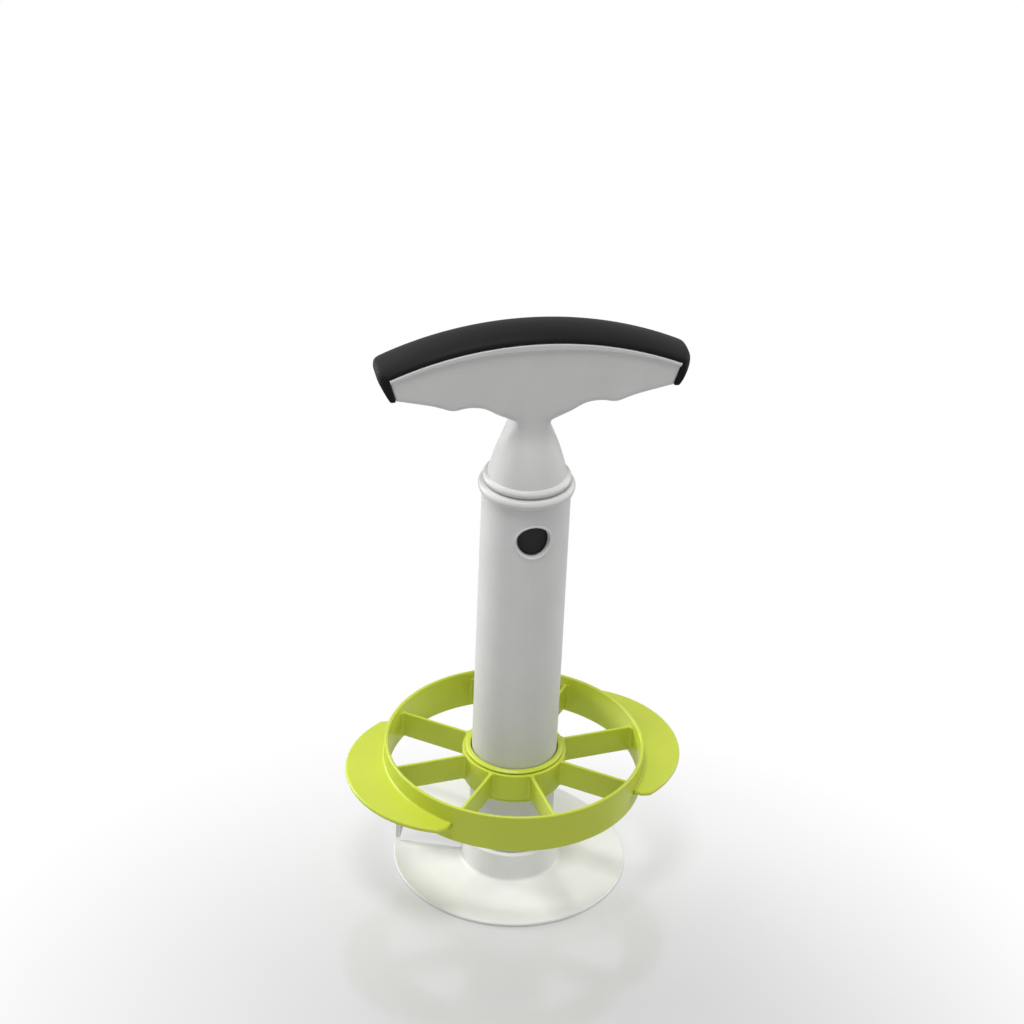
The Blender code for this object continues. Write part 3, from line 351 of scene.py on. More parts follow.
# name, place, size and watts; each one is white and faces LIGHT_TARGET
LIGHT_TARGET = (0.0, 0.0, 0.11)
LIGHTS = (
    ("overhead", (-0.16, -0.18, 1.14), 0.32, 6.5),
    ("back", (-0.50, 0.72, 0.85), 0.60, 2.4),
    ("rim_left", (-0.78, 0.62, 0.34), 0.40, 6.4),
    ("rim_right", (0.85, 0.20, 0.40), 0.60, 2.8),
    ("fill", (0.10, -1.30, 0.50), 0.90, 1.5),
)


# Shape helpers

def set_all(target, **values):
    """Set several properties of one thing and return it."""
    for name, value in values.items():
        setattr(target, name, value)
    return target


def skin(name, shape):
    """Turn a bmesh into a smooth-shaded object."""
    bmesh.ops.remove_doubles(shape, verts=shape.verts, dist=MERGE_DISTANCE)
    bmesh.ops.recalc_face_normals(shape, faces=shape.faces)
    mesh = bpy.data.meshes.new(name)
    shape.to_mesh(mesh)
    shape.free()
    smooth_shade(mesh)
    return add_object(name, mesh)


def smooth_shade(mesh):
    mesh.shade_smooth()
    mesh.set_sharp_from_angle(angle=SMOOTH_ANGLE)


def add_object(name, data):
    holder = bpy.data.objects.new(name, data)
    bpy.context.scene.collection.objects.link(holder)
    return holder


def shares(steps):
    """Return shares from 0 to 1 in equal steps."""
    return [i / steps for i in range(steps + 1)]


def full_turn(steps):
    return [tau * i / steps for i in range(steps)]


def on_circle(radius, angle, x=0.0, y=0.0):
    return (x + radius * cos(angle), y + radius * sin(angle))


def at_angle(profile, angle):
    return [(*on_circle(radius, angle), z) for radius, z in profile]


def loft(name, sections, closed=False):
    """Skin a row of like sections; closed joins the last to the first."""
    shape = bmesh.new()
    rings = [[shape.verts.new(point) for point in section] for section in sections]
    follow = rings[1:] + rings[:1] if closed else rings[1:]
    for ring, after in zip(rings, follow):
        for i in range(len(ring)):
            j = (i + 1) % len(ring)
            shape.faces.new((ring[i], ring[j], after[j], after[i]))
    if not closed:
        shape.faces.new(rings[0])
        shape.faces.new(rings[-1])
    return skin(name, shape)


def turned(name, profile, steps=ROUND_STEPS):
    """Turn a closed profile of (radius, height) points round Z."""
    return loft(name, [at_angle(profile, angle) for angle in full_turn(steps)], closed=True)


def spun(name, corners, steps=ROUND_STEPS):
    """Turn corners of (radius, height, rounding) round Z and close both ends flat."""
    first, last = ((MERGE_DISTANCE, corner[1], 0.0) for corner in (corners[0], corners[-1]))
    profile = rounded([first, *corners, last])[1:-1]
    return loft(name, [[(*on_circle(r, angle), z) for angle in full_turn(steps)] for r, z in profile])


def rounded(corners, steps=FILLET_STEPS):
    """Return a closed outline with its (x, y, radius) corners rounded."""
    path = []
    for i, (x, y, radius) in enumerate(corners):
        if radius == 0.0:
            path.append((x, y))
            continue
        corner = Vector((x, y))
        before = (Vector(corners[i - 1][:2]) - corner).normalized()
        after = (Vector(corners[(i + 1) % len(corners)][:2]) - corner).normalized()
        half = acos(before.dot(after)) / 2
        centre = corner + (before + after).normalized() * radius / sin(half)
        reach = before * radius / tan(half) + corner - centre
        start = atan2(reach.y, reach.x)
        sweep = copysign(pi - 2 * half, after.cross(before))
        path += [on_circle(radius, start + sweep * share, *centre) for share in shares(steps)]
    return path


def quarter(x, z, radius, start_deg):
    """Return a quarter circle about a centre, anticlockwise from start_deg."""
    turns = [radians(start_deg + 90.0 * share) for share in shares(FILLET_STEPS)]
    return [on_circle(radius, turn, x, z) for turn in turns]


def wall(outer, inner, low, high, low_edge, high_edge, draft=0.0):
    """Return a ring's section; a draft narrows its foot."""
    return rounded([
        (outer, high, high_edge),
        (outer - draft, low, low_edge),
        (inner - draft, low, low_edge),
        (inner, high, high_edge),
    ])


def smooth_path(points):
    """Run a Catmull-Rom curve through the points."""
    path = []
    padded = [points[0], *points, points[-1]]
    for a, b, c, d in zip(padded, padded[1:], padded[2:], padded[3:]):
        for t in shares(PATH_STEPS)[:-1]:
            path.append(tuple(
                0.5 * (2 * q + (r - p) * t + (2 * p - 5 * q + 4 * r - s) * t ** 2
                       + (3 * q - p - 3 * r + s) * t ** 3)
                for p, q, r, s in zip(a, b, c, d)
            ))
    path.append(points[-1])
    return path


def ease(share):
    share = min(max(share, 0.0), 1.0)
    return share * share * (3 - 2 * share)


def mirrored(path):
    return [(-x, z) for x, z in reversed(path)]


def plate(name, outline, half_depth, place=None, rounding=0.0, segments=FILLET_STEPS):
    """Fill an outline of (x, z) pairs, with depth both ways along Y and rounded rims."""
    curve = set_all(bpy.data.curves.new(name, "CURVE"), dimensions="2D", fill_mode="BOTH")
    set_all(curve, extrude=half_depth - rounding, offset=-rounding)
    set_all(curve, bevel_depth=rounding, bevel_resolution=segments - 1)
    spline = curve.splines.new("POLY")
    spline.points.add(len(outline) - 1)
    for point, (x, z) in zip(spline.points, outline):
        point.co = (x, z, 0.0, 1.0)
    spline.use_cyclic_u = True
    guide = add_object("guide", curve)
    guide.matrix_world = (place or Matrix.Identity(4)) @ STAND_UP
    shape = bmesh.new()
    shape.from_mesh(settled_mesh(guide))
    bpy.data.objects.remove(guide, do_unlink=True)
    return skin(name, shape)


def lying_at(height):
    """Return the place that lays a plate flat at a height."""
    return Matrix.Translation((0.0, 0.0, height)) @ LAY_FLAT


def cylinder(radius, depth, place, steps):
    """Make a cutter: a cylinder about its place."""
    shape = bmesh.new()
    bmesh.ops.create_cone(
        shape, cap_ends=True, segments=steps, radius1=radius, radius2=radius, depth=depth, matrix=place,
    )
    return skin("cutter", shape)


def upright(radius, depth, z, y=0.0, steps=SCREW_STEPS):
    """Make a cutter: an upright cylinder on the tube's axis, or beside it along Y."""
    return cylinder(radius, depth, Matrix.Translation((0.0, y, z)), steps)


def button_bore(radius, side, near, far):
    """Make a cutter on a button's axis, between two distances from the tube's axis."""
    place = Matrix.Translation((0.0, side * (near + far) / 2, BUTTON_Z)) @ STAND_UP
    return cylinder(radius, far - near, place, BEAD_STEPS)


def block(size, centre):
    """Make a cutter: a block about its centre."""
    shape = bmesh.new()
    place = Matrix.Translation(centre) @ Matrix.Diagonal((*size, 1.0))
    bmesh.ops.create_cube(shape, size=1.0, matrix=place)
    return skin("cutter", shape)


def settled_mesh(piece):
    """Return the piece's mesh with its modifiers, in world space."""
    bpy.context.view_layer.update()
    graph = bpy.context.evaluated_depsgraph_get()
    mesh = bpy.data.meshes.new_from_object(piece.evaluated_get(graph))
    mesh.transform(piece.matrix_world)
    return mesh


def settle(piece):
    """Apply the piece's modifiers and place."""
    mesh = settled_mesh(piece)
    piece.modifiers.clear()
    piece.data = mesh
    piece.matrix_world = Matrix.Identity(4)
    smooth_shade(mesh)
    return piece


def combine(piece, operation, *tools):
    """Cut, join or intersect other shapes, which are then deleted."""
    for tool in tools:
        set_all(piece.modifiers.new("Combine", "BOOLEAN"), operation=operation, object=tool)
    settle(piece)
    for tool in tools:
        bpy.data.objects.remove(tool, do_unlink=True)


def gather(piece, *others):
    """Add other shapes to the piece's mesh as they are."""
    shape = bmesh.new()
    for part in (piece, *others):
        shape.from_mesh(part.data)
    shape.to_mesh(piece.data)
    shape.free()
    for part in others:
        bpy.data.objects.remove(part, do_unlink=True)


def even_shading(piece):
    """Let large flat faces decide the shading next to small ones."""
    modifier = piece.modifiers.new("Shading", "WEIGHTED_NORMAL")
    set_all(modifier, keep_sharp=True, weight=FLAT_FACE_WEIGHT)
    return piece


def remesh(piece, voxel):
    """Rebuild the skin in even squares, which blends its shapes."""
    modifier = piece.modifiers.new("Remesh", "REMESH")
    set_all(modifier, mode="VOXEL", voxel_size=voxel, use_smooth_shade=True)
    settle(piece)


def relax(piece, rounds, weight=None, axes=(0, 1, 2), steps=IN_AND_OUT):
    """Smooth the skin along the axes; going in and back out keeps it from shrinking."""
    mesh = piece.data
    count = len(mesh.vertices)
    points = np.empty((count, 3))
    mesh.vertices.foreach_get("co", points.ravel())
    edges = np.empty((len(mesh.edges), 2), dtype=np.int64)
    mesh.edges.foreach_get("vertices", edges.ravel())
    a, b = edges.T
    degree = np.bincount(np.concatenate((a, b)), minlength=count)
    strength = np.ones(count) if weight is None else weight(points)
    for _ in range(rounds):
        for step in steps:
            for k in axes:
                total = np.bincount(a, weights=points[b, k], minlength=count)
                total += np.bincount(b, weights=points[a, k], minlength=count)
                points[:, k] += step * strength * (total / degree - points[:, k])
    mesh.vertices.foreach_set("co", points.ravel())
    mesh.update()


# Corer: tube, beads round the button holes, and slicing disc

def core_tube():
    """Make the tube with its toothed foot and a hole for each button."""
    inner = TUBE_RADIUS - TUBE_WALL
    sections = []
    for angle in full_turn(TUBE_STEPS):
        section = wall(TUBE_RADIUS, inner, tooth_rise(angle), TUBE_LENGTH, SMALL_EDGE, TUBE_LIP)
        sections.append(at_angle(section, angle))
    tube = loft("tube_skin", sections, closed=True)
    reach = TUBE_RADIUS + OVERRUN
    combine(tube, "DIFFERENCE", button_bore(BUTTON_HOLE_RADIUS, 1, -reach, reach))
    shade_round(tube, TUBE_RADIUS)
    return tube


def shade_round(piece, radius):
    """Give the skin on that round surface its exact normals."""
    mesh = piece.data
    normals = [corner.vector.copy() for corner in mesh.corner_normals]
    for face in mesh.polygons:
        if abs(face.normal.z) < FLAT_SHARE:
            for corner in face.loop_indices:
                x, y, _ = mesh.vertices[mesh.loops[corner].vertex_index].co
                outward = Vector((x, y, 0.0))
                if abs(outward.length - radius) < ROUND_TOLERANCE and face.normal.dot(outward) > 0.0:
                    normals[corner] = outward.normalized()
    mesh.normals_split_custom_set(normals)


def tooth_rise(angle):
    """Return the height of the tube's foot: flat teeth with notches between."""
    pitch = tau * TUBE_RADIUS / TOOTH_COUNT
    place = angle * TOOTH_COUNT / tau % 1.0
    from_notch = abs(place - 0.5) * pitch
    return TOOTH_HEIGHT * max(1 - 2 * from_notch / (pitch - TOOTH_LAND), 0.0)


def hole_bead(name, side):
    """Make the low bead that lines a button's hole and follows the tube's curve."""
    section = [(BEAD_INNER_RADIUS, GAP - TUBE_WALL)]
    for share in shares(2 * FILLET_STEPS):
        section.append((BEAD_INNER_RADIUS + BEAD_WIDTH * share, BEAD_RISE * sin(pi * share)))
    section.append((BEAD_INNER_RADIUS + BEAD_WIDTH, GAP - TUBE_WALL))
    sections = []
    for angle in full_turn(BEAD_STEPS):
        ring = []
        for reach, rise in section:
            x, up = on_circle(reach, angle)
            scale = 1 + rise / TUBE_RADIUS
            y = side * sqrt(TUBE_RADIUS ** 2 - x ** 2)
            ring.append((x * scale, y * scale, BUTTON_Z + up))
        sections.append(ring)
    return loft(name, sections, closed=True)


def disc_climb(turn):
    """Return the disc's rise: level first, then one slice up."""
    return SLICE_PITCH * ease((turn - LEVEL_SWEEP_DEG) / (DISC_SWEEP_DEG - LEVEL_SWEEP_DEG))


def disc_section(turn):
    """Return the disc's section at a turn: round rim, fillets at the hub."""
    climb = disc_climb(turn)
    thickness = DISC_EDGE_THICKNESS + (DISC_THICKNESS - DISC_EDGE_THICKNESS) * ease(turn / EDGE_TAPER_DEG)
    half = thickness / 2
    top = climb + thickness
    low_fillet = min(DISC_FILLET, climb + MERGE_DISTANCE)
    high_fillet = min(DISC_FILLET, HUB_TOP_Z - HUB_EDGE - top)
    root = HUB_OUTER_RADIUS
    section = [(root - SEAT, climb - low_fillet)]
    section += reversed(quarter(root + low_fillet, climb - low_fillet, low_fillet, 90.0))
    section += quarter(DISC_RADIUS - half, climb + half, half, -90.0)
    section += quarter(DISC_RADIUS - half, climb + half, half, 0.0)[1:]
    section += reversed(quarter(root + high_fillet, top + high_fillet, high_fillet, 180.0))
    section.append((root - SEAT, top + high_fillet))
    return [(radius, max(height, 0.0)) for radius, height in section]


def slicing_disc():
    """Make the spiral disc with its hub and rim cutter."""
    turns = [DISC_SWEEP_DEG * share for share in shares(RING_STEPS)]
    sections = [at_angle(disc_section(turn), radians(CUT_START_DEG + turn)) for turn in turns]
    disc = loft("disc_skin", sections)
    section = wall(HUB_OUTER_RADIUS, HUB_INNER_RADIUS, HUB_FOOT_Z, HUB_TOP_Z, SMALL_EDGE, HUB_EDGE)
    hub = turned("disc_hub", section)
    gather(disc, hub, rim_cutter())
    return disc


def rim_cutter():
    """Make the upright cutter, which deepens towards the cut."""
    start = DISC_SWEEP_DEG - RIM_CUTTER_SWEEP_DEG
    outer = DISC_RADIUS - MERGE_DISTANCE
    sections = []
    for share in shares(ARC_STEPS):
        turn = start + RIM_CUTTER_SWEEP_DEG * share
        high = disc_climb(turn) + DISC_THICKNESS / 2
        low = high - DISC_THICKNESS / 4 - (high - DISC_THICKNESS) * ease(share)
        edge = min(SMALL_EDGE, (high - low) / 3)
        corners = wall(outer, outer - RIM_CUTTER_WALL, low, high, edge, edge)
        sections.append(at_angle(corners, radians(CUT_START_DEG + turn)))
    return loft("rim_cutter", sections)


# Buttons

def release_button(name, side):
    """Make a button whose face follows the plug's curve and dips slightly."""
    back = PLUG_RADIUS - BUTTON_LENGTH
    flange_far = PLUG_RADIUS - BUTTON_FLANGE_REACH
    flange_near = flange_far - BUTTON_FLANGE_THICKNESS
    face = [(BUTTON_RADIUS * share, PLUG_RADIUS, 0.0) for share in shares(2 * FILLET_STEPS)[1:-1]]
    profile = rounded([
        (MERGE_DISTANCE, PLUG_RADIUS, 0.0),
        *face,
        (BUTTON_RADIUS, PLUG_RADIUS, BUTTON_EDGE),
        (BUTTON_RADIUS, flange_far, 0.0),
        (BUTTON_FLANGE_RADIUS, flange_far, SMALL_EDGE),
        (BUTTON_FLANGE_RADIUS, flange_near, SMALL_EDGE),
        (BUTTON_RADIUS, flange_near, 0.0),
        (BUTTON_RADIUS, back, SMALL_EDGE),
        (SPRING_POCKET_RADIUS, back, SMALL_EDGE),
        (SPRING_POCKET_RADIUS, back + SPRING_POCKET_DEPTH, 0.0),
        (MERGE_DISTANCE, back + SPRING_POCKET_DEPTH, 0.0),
    ])
    sections = []
    for angle in full_turn(BEAD_STEPS):
        ring = []
        for radius, height in profile:
            x, up = on_circle(radius, angle)
            front = ease((height - flange_far) / (PLUG_RADIUS - flange_far))
            curve = PLUG_RADIUS - sqrt(PLUG_RADIUS ** 2 - x ** 2)
            dish = BUTTON_DISH * (1 - (radius / BUTTON_RADIUS) ** 2)
            y = height - front * (curve + max(dish, 0.0))
            ring.append((x, side * y, BUTTON_Z + up))
        sections.append(ring)
    return loft(name, sections, closed=True)


# Plug: two halves, cap and screws

def plug_half(name, side):
    """Make one half of the plug, bored for what it holds."""
    half = spun(name, [
        (SPIGOT_RADIUS, SPIGOT_TOP_Z, SMALL_EDGE),
        (SPIGOT_RADIUS, TUBE_LENGTH, 0.0),
        (PLUG_RADIUS, TUBE_LENGTH, SMALL_EDGE),
        (PLUG_RADIUS, PLUG_BOTTOM_Z, SMALL_EDGE),
    ])
    depth = PLUG_RADIUS + OVERRUN
    height = SPIGOT_TOP_Z - PLUG_BOTTOM_Z + 2 * OVERRUN
    middle = (SPIGOT_TOP_Z + PLUG_BOTTOM_Z) / 2
    pocket = (PLATE_POCKET_WIDTH, PLATE_POCKET_DEPTH, PLATE_POCKET_WIDTH)
    hole_depth = 2 * (CAP_SCREW_LENGTH + GAP)
    combine(
        half, "DIFFERENCE",
        block((2 * depth, depth, height), (0.0, side * (GAP - depth) / 2, middle)),
        button_bore(PLUG_CHAMBER_RADIUS, side, -OVERRUN, PLUG_CHAMBER_END),
        button_bore(BUTTON_HOLE_RADIUS, side, 0.0, depth),
        block(pocket, (0.0, 0.0, BUTTON_Z)),
        upright(SCREW_BORE_RADIUS, 2 * (SPIGOT_TOP_Z - TUBE_LENGTH), SPIGOT_TOP_Z),
        upright(NUT_POCKET_RADIUS, NUT_POCKET_HEIGHT, NUT_MIDDLE_Z, steps=HEX_SIDES),
        upright(CAP_SCREW_HOLE_RADIUS, hole_depth, PLUG_BOTTOM_Z, side * CAP_SCREW_OFFSET),
    )
    shade_round(half, PLUG_RADIUS)
    return half


def plug_cap():
    """Make the disc that closes the plug from below."""
    top = PLUG_BOTTOM_Z - GAP
    cap = spun("cap_skin", [
        (PLUG_RADIUS, top, SMALL_EDGE / 2),
        (PLUG_RADIUS, top - PLUG_CAP_THICKNESS, SMALL_EDGE),
    ])
    depth = PLUG_CAP_THICKNESS + 2 * OVERRUN
    places = (-CAP_SCREW_OFFSET, CAP_SCREW_OFFSET)
    holes = [upright(CAP_SCREW_HOLE_RADIUS, depth, top, y) for y in places]
    combine(cap, "DIFFERENCE", *holes)
    return even_shading(cap)


def screw(name, sizes, length, place):
    """Make a screw with a domed head; its shank runs down."""
    radius, head_radius, head_height, socket_radius = sizes
    body = spun(name, [
        (head_radius, head_height, head_height * SCREW_DOME_SHARE),
        (head_radius, 0.0, SMALL_EDGE / 3),
        (radius, 0.0, 0.0),
        (radius, radius - length, 0.0),
        (radius / 2, -length, 0.0),
    ], SCREW_STEPS)
    combine(body, "DIFFERENCE", upright(socket_radius, head_height, head_height, steps=HEX_SIDES))
    body.matrix_world = place
    return settle(body)


def plug_screw():
    place = Matrix.Translation((0.0, 0.0, SCREW_HEAD_Z))
    return screw("plug_screw_skin", SCREW_SIZES, SCREW_LENGTH, place)


def cap_screw(name, side):
    low = PLUG_BOTTOM_Z - 2 * GAP - PLUG_CAP_THICKNESS
    flip = Matrix.Translation((0.0, side * CAP_SCREW_OFFSET, low)) @ Matrix.Rotation(pi, 4, "X")
    return screw(name, CAP_SCREW_SIZES, CAP_SCREW_LENGTH, flip)


# Handle: collar, body with neck, lip and soft grip

def tube_collar():
    profile = smooth_path(COLLAR_PATH) + [
        (COLLAR_FOOT_RADIUS, COLLAR_BOTTOM_Z + COLLAR_FOOT_HEIGHT),
        (COLLAR_FOOT_RADIUS, COLLAR_BOTTOM_Z),
        (COLLAR_SOCKET_RADIUS, COLLAR_BOTTOM_Z),
        (COLLAR_SOCKET_RADIUS, COLLAR_SOCKET_TOP_Z),
        (SPIGOT_BORE_RADIUS, COLLAR_SOCKET_TOP_Z),
        (SPIGOT_BORE_RADIUS, COLLAR_TOP_Z),
    ]
    return turned("collar_skin", profile)


def neck_half(z):
    """Return the neck's half width: a taper with a slight swell."""
    share = (NECK_TOP_Z - z) / (NECK_TOP_Z - NECK_RING_TOP_Z)
    swell = NECK_SWELL * sin(pi * min(max(share, 0.0), 1.0))
    return NECK_TOP_RADIUS + (NECK_GROOVE_RADIUS - NECK_TOP_RADIUS) * share + swell


def neck_section(z):
    """Return the neck's section: round at its ring, flatter towards the body."""
    half = neck_half(z)
    rise = (z - NECK_RING_TOP_Z) / (NECK_JOIN_Z - NECK_RING_TOP_Z)
    flat = min(max(rise, 0.0), 1.0) ** NECK_FLATTENING
    half_x = max(half, NECK_LEAST_RADIUS)
    over = log1p(exp((half - BODY_HALF_DEPTH) / NECK_SOFTNESS))
    half_y = BODY_HALF_DEPTH + NECK_SOFTNESS * over
    power = 2 / (2 + NECK_SQUARENESS * flat)
    section = []
    for angle in full_turn(ROUND_STEPS):
        across, deep = on_circle(1.0, angle)
        x = copysign(abs(across) ** power, across)
        y = copysign(abs(deep) ** power, deep)
        section.append((half_x * x, half_y * y, z))
    return section


def neck():
    """Make the neck, from inside its ring to a level inside the body."""
    low = NECK_RING_TOP_Z - NECK_FOOT_DEPTH
    high = NECK_TOP_Z + NECK_RISE
    return loft("neck", [neck_section(low + (high - low) * share) for share in shares(ARC_STEPS)])


def neck_ring():
    return turned("neck_ring", smooth_path(NECK_RING_PATH) + [
        (SPIGOT_BORE_RADIUS, NECK_BOTTOM_Z),
        (SPIGOT_BORE_RADIUS, NECK_RING_PATH[0][1]),
    ])


def arc_radius(half_length, fall):
    """Return the radius of a round crown that falls that much at its half length."""
    return (half_length ** 2 + fall ** 2) / (2 * fall)


def crown_height(x):
    radius = arc_radius(BODY_HALF_LENGTH, BODY_CROWN)
    return BODY_APEX_Z - radius + sqrt(radius ** 2 - x ** 2)


def crown_path(reach):
    """Return points on the body's crown from +reach to -reach."""
    xs = [reach * (1 - 2 * share) for share in shares(ARC_STEPS)]
    return [(x, crown_height(x)) for x in xs]


def underside_path():
    """Return the handle's underside on the +X side, from the neck outwards."""
    points = [(BODY_HALF_LENGTH * x, NECK_TOP_Z + BODY_HEIGHT * z) for x, z in UNDERSIDE_SHARES]
    return smooth_path(points)


def end_line_x(z, offset):
    """Return the body's slanted end at height z, moved outwards by the offset."""
    low_x, low_z = underside_path()[-1]
    high_z = crown_height(BODY_HALF_LENGTH)
    return offset + low_x + (BODY_HALF_LENGTH - low_x) * (z - low_z) / (high_z - low_z)


def cavity():
    """Make the body's hollow, open at the top and closed over the neck."""
    reach = BODY_HALF_LENGTH * CAVITY_REACH_SHARE
    floor = [(x, z + BODY_WALL) for x, z in underside_path() if SCREW_SEAT_RADIUS < x < reach]
    floor = [(SCREW_SEAT_RADIUS, BODY_FLOOR_Z)] + [point for point in floor if point[1] > BODY_FLOOR_Z]
    right = [*floor, (floor[-1][0], BODY_APEX_Z + OVERRUN)]
    return plate("cavity", right + mirrored(right), BODY_HALF_DEPTH - BODY_WALL)


def join_weight(points):
    """Return how strongly to smooth each point: most where body and neck meet."""
    away = np.sqrt(points[:, 0] ** 2 + (points[:, 2] - JOIN_Z) ** 2)
    return np.clip(JOIN_FADE - away / JOIN_REACH, 0.0, 1.0)


def body_end(side):
    """Make the square-edged slab at one end of the body, under the grip's strap."""
    path = underside_path()
    low_x = path[-1][0]
    floor = [(x, z + BODY_ROUNDING * (low_x - x) / BODY_END_DEPTH)
             for x, z in path if x > low_x - BODY_END_DEPTH]
    floor[-1] = (low_x + BODY_END_REACH, floor[-1][1])
    near = floor[0][0]
    top_x, top_z = crown_path(BODY_HALF_LENGTH)[0]
    outline = [*floor, (top_x + BODY_END_REACH, top_z), (near, crown_height(near))]
    if side < 0:
        outline = mirrored(outline)
    return plate("body_end", outline, BODY_HALF_DEPTH, rounding=LIP_ROUNDING)


def handle_body():
    """Make the T body with its neck, hollow from above and bored for the screw."""
    side = underside_path()
    right = [(side[0][0] * STUB_WIDTH_SHARE, side[0][1] - STUB_DEPTH), *side]
    top = [(x, z - LIP_RAISE) for x, z in crown_path(BODY_HALF_LENGTH - LIP_RAISE)]
    body = plate("handle_skin", right + top + mirrored(right), BODY_HALF_DEPTH,
                 rounding=BODY_ROUNDING, segments=2 * FILLET_STEPS)
    gather(body, neck(), body_end(1), body_end(-1))
    remesh(body, BODY_VOXEL)
    relax(body, SOFTEN_ROUNDS)
    relax(body, BODY_PLAIN_ROUNDS, steps=INWARDS)
    relax(body, JOIN_ROUNDS, join_weight)
    relax(body, JOIN_ROUNDS, join_weight, axes=(1,), steps=INWARDS)
    bore_height = BODY_FLOOR_Z - NECK_BOTTOM_Z + 2 * OVERRUN
    bore_middle = (BODY_FLOOR_Z + NECK_BOTTOM_Z) / 2
    socket_height = SPIGOT_SOCKET_TOP_Z - NECK_BOTTOM_Z + OVERRUN
    socket_middle = SPIGOT_SOCKET_TOP_Z - socket_height / 2
    combine(
        body, "DIFFERENCE", cavity(),
        upright(SCREW_BORE_RADIUS, bore_height, bore_middle, steps=ROUND_STEPS),
        upright(SPIGOT_BORE_RADIUS, socket_height, socket_middle, steps=ROUND_STEPS),
    )
    return body


def handle_lip():
    """Make the raised strip round the body's top edge."""
    top = crown_path(BODY_HALF_LENGTH)
    lower = []
    for x, z in reversed(top):
        share = abs(x) / BODY_HALF_LENGTH
        lower.append((x, z - LIP_HEIGHT + (LIP_HEIGHT - LIP_END_HEIGHT) * share))
    end = end_line_x(lower[0][1], 0.0)
    lower[0] = (-end, lower[0][1])
    lower[-1] = (end, lower[-1][1])
    lip = plate("handle_lip", top + lower, BODY_HALF_DEPTH + LIP_PROUD, rounding=LIP_ROUNDING)
    combine(lip, "DIFFERENCE", cavity())
    return even_shading(lip)


def grip_crown():
    """Return the grip's apex, its fall at the ends and its crown's radius."""
    apex = BODY_APEX_Z + GAP + GRIP_THICKNESS
    crown = BODY_CROWN * (GRIP_HALF_LENGTH / BODY_HALF_LENGTH) ** 2
    return apex, crown, arc_radius(GRIP_HALF_LENGTH, crown)


def grip_wheel():
    """Make the wheel whose rim, half an ellipse, is the grip's crown."""
    apex, _, radius = grip_crown()
    bulge = GRIP_THICKNESS - GRIP_RIM_HEIGHT
    rim = []
    for i in range(-GRIP_SEGMENTS, GRIP_SEGMENTS + 1):
        turn = pi / 2 * i / GRIP_SEGMENTS
        rim.append((radius - bulge * (1 - cos(turn)), -GRIP_HALF_DEPTH * sin(turn)))
    profile = [(MERGE_DISTANCE, GRIP_HALF_DEPTH), *rim, (MERGE_DISTANCE, -GRIP_HALF_DEPTH)]
    wheel = turned("grip_wheel", profile, CROWN_STEPS)
    wheel.matrix_world = lying_at(apex - radius)
    return wheel


def grip_plan():
    corners = [
        (side_x * GRIP_HALF_LENGTH, side_y * (GRIP_HALF_DEPTH + GAP), GRIP_CORNER)
        for side_x, side_y in ((1, -1), (1, 1), (-1, 1), (-1, -1))
    ]
    depth = BODY_HEIGHT + OVERRUN
    return plate("grip_plan", rounded(corners, 2 * FILLET_STEPS), depth, lying_at(BODY_APEX_Z))


def soft_grip():
    """Make the soft cover over the body's top and ends."""
    low_z = underside_path()[-1][1]
    high_z = crown_height(BODY_HALF_LENGTH)
    apex, crown, _ = grip_crown()
    outer = [
        (end_line_x(low_z, GRIP_GAP + GRIP_END_THICKNESS), low_z),
        (GRIP_HALF_LENGTH, apex - crown - GRIP_THICKNESS),
        (GRIP_HALF_LENGTH, apex + OVERRUN),
    ]
    top = [(x, z + GRIP_GAP) for x, z in crown_path(BODY_HALF_LENGTH)]
    end = [(end_line_x(high_z, GRIP_GAP), high_z + GRIP_GAP), (end_line_x(low_z, GRIP_GAP), low_z)]
    inner = mirrored(end) + list(reversed(top))[1:-1] + end
    grip = plate("grip_skin", outer + mirrored(outer) + inner, GRIP_HALF_DEPTH + OVERRUN)
    combine(grip, "INTERSECT", grip_wheel())
    combine(grip, "INTERSECT", grip_plan())
    remesh(grip, GRIP_VOXEL)
    relax(grip, SOFTEN_ROUNDS)
    relax(grip, GRIP_PLAIN_ROUNDS, steps=INWARDS)
    relax(grip, GRIP_END_ROUNDS, end_weight, steps=INWARDS)
    return grip


def end_weight(points):
    """Return 1 at the grip's upper corners, fading to 0 along its top and straps."""
    along = (np.abs(points[:, 0]) - GRIP_HALF_LENGTH + GRIP_CORNER) / GRIP_CORNER
    up = (points[:, 2] - GRIP_CORNER_LOW_Z) / GRIP_CORNER
    return np.clip(along, 0.0, 1.0) * np.clip(up, 0.0, 1.0)


# Wedger: sleeve, hub, blades, and the band with its wings

def wing_outline(side):
    """Return one wing from above: a lobe with short straight ends."""
    root = WEDGER_RADIUS - WEDGER_WALL / 2
    top = WEDGER_RADIUS + WING_WIDTH
    tip = WEDGER_RADIUS + WING_TIP_WIDTH
    centre = (top ** 2 - tip ** 2) / (2 * (top - tip * cos(WING_HALF_ANGLE)))
    radius = top - centre
    sweep = atan2(tip * sin(WING_HALF_ANGLE), tip * cos(WING_HALF_ANGLE) - centre)
    reach = sweep - WING_CORNER / radius
    lobe = [on_circle(radius, reach * (2 * share - 1), centre) for share in shares(ARC_STEPS)]
    low = on_circle(tip - WING_CORNER, -WING_HALF_ANGLE)
    start = smooth_path([low, lobe[0], lobe[1]])[:PATH_STEPS]
    finish = [(x, -y) for x, y in reversed(start)]
    base = [on_circle(root, WING_HALF_ANGLE * (1 - 2 * share)) for share in shares(ARC_STEPS)]
    return [(side * x, side * y) for x, y in start + lobe + finish + base]


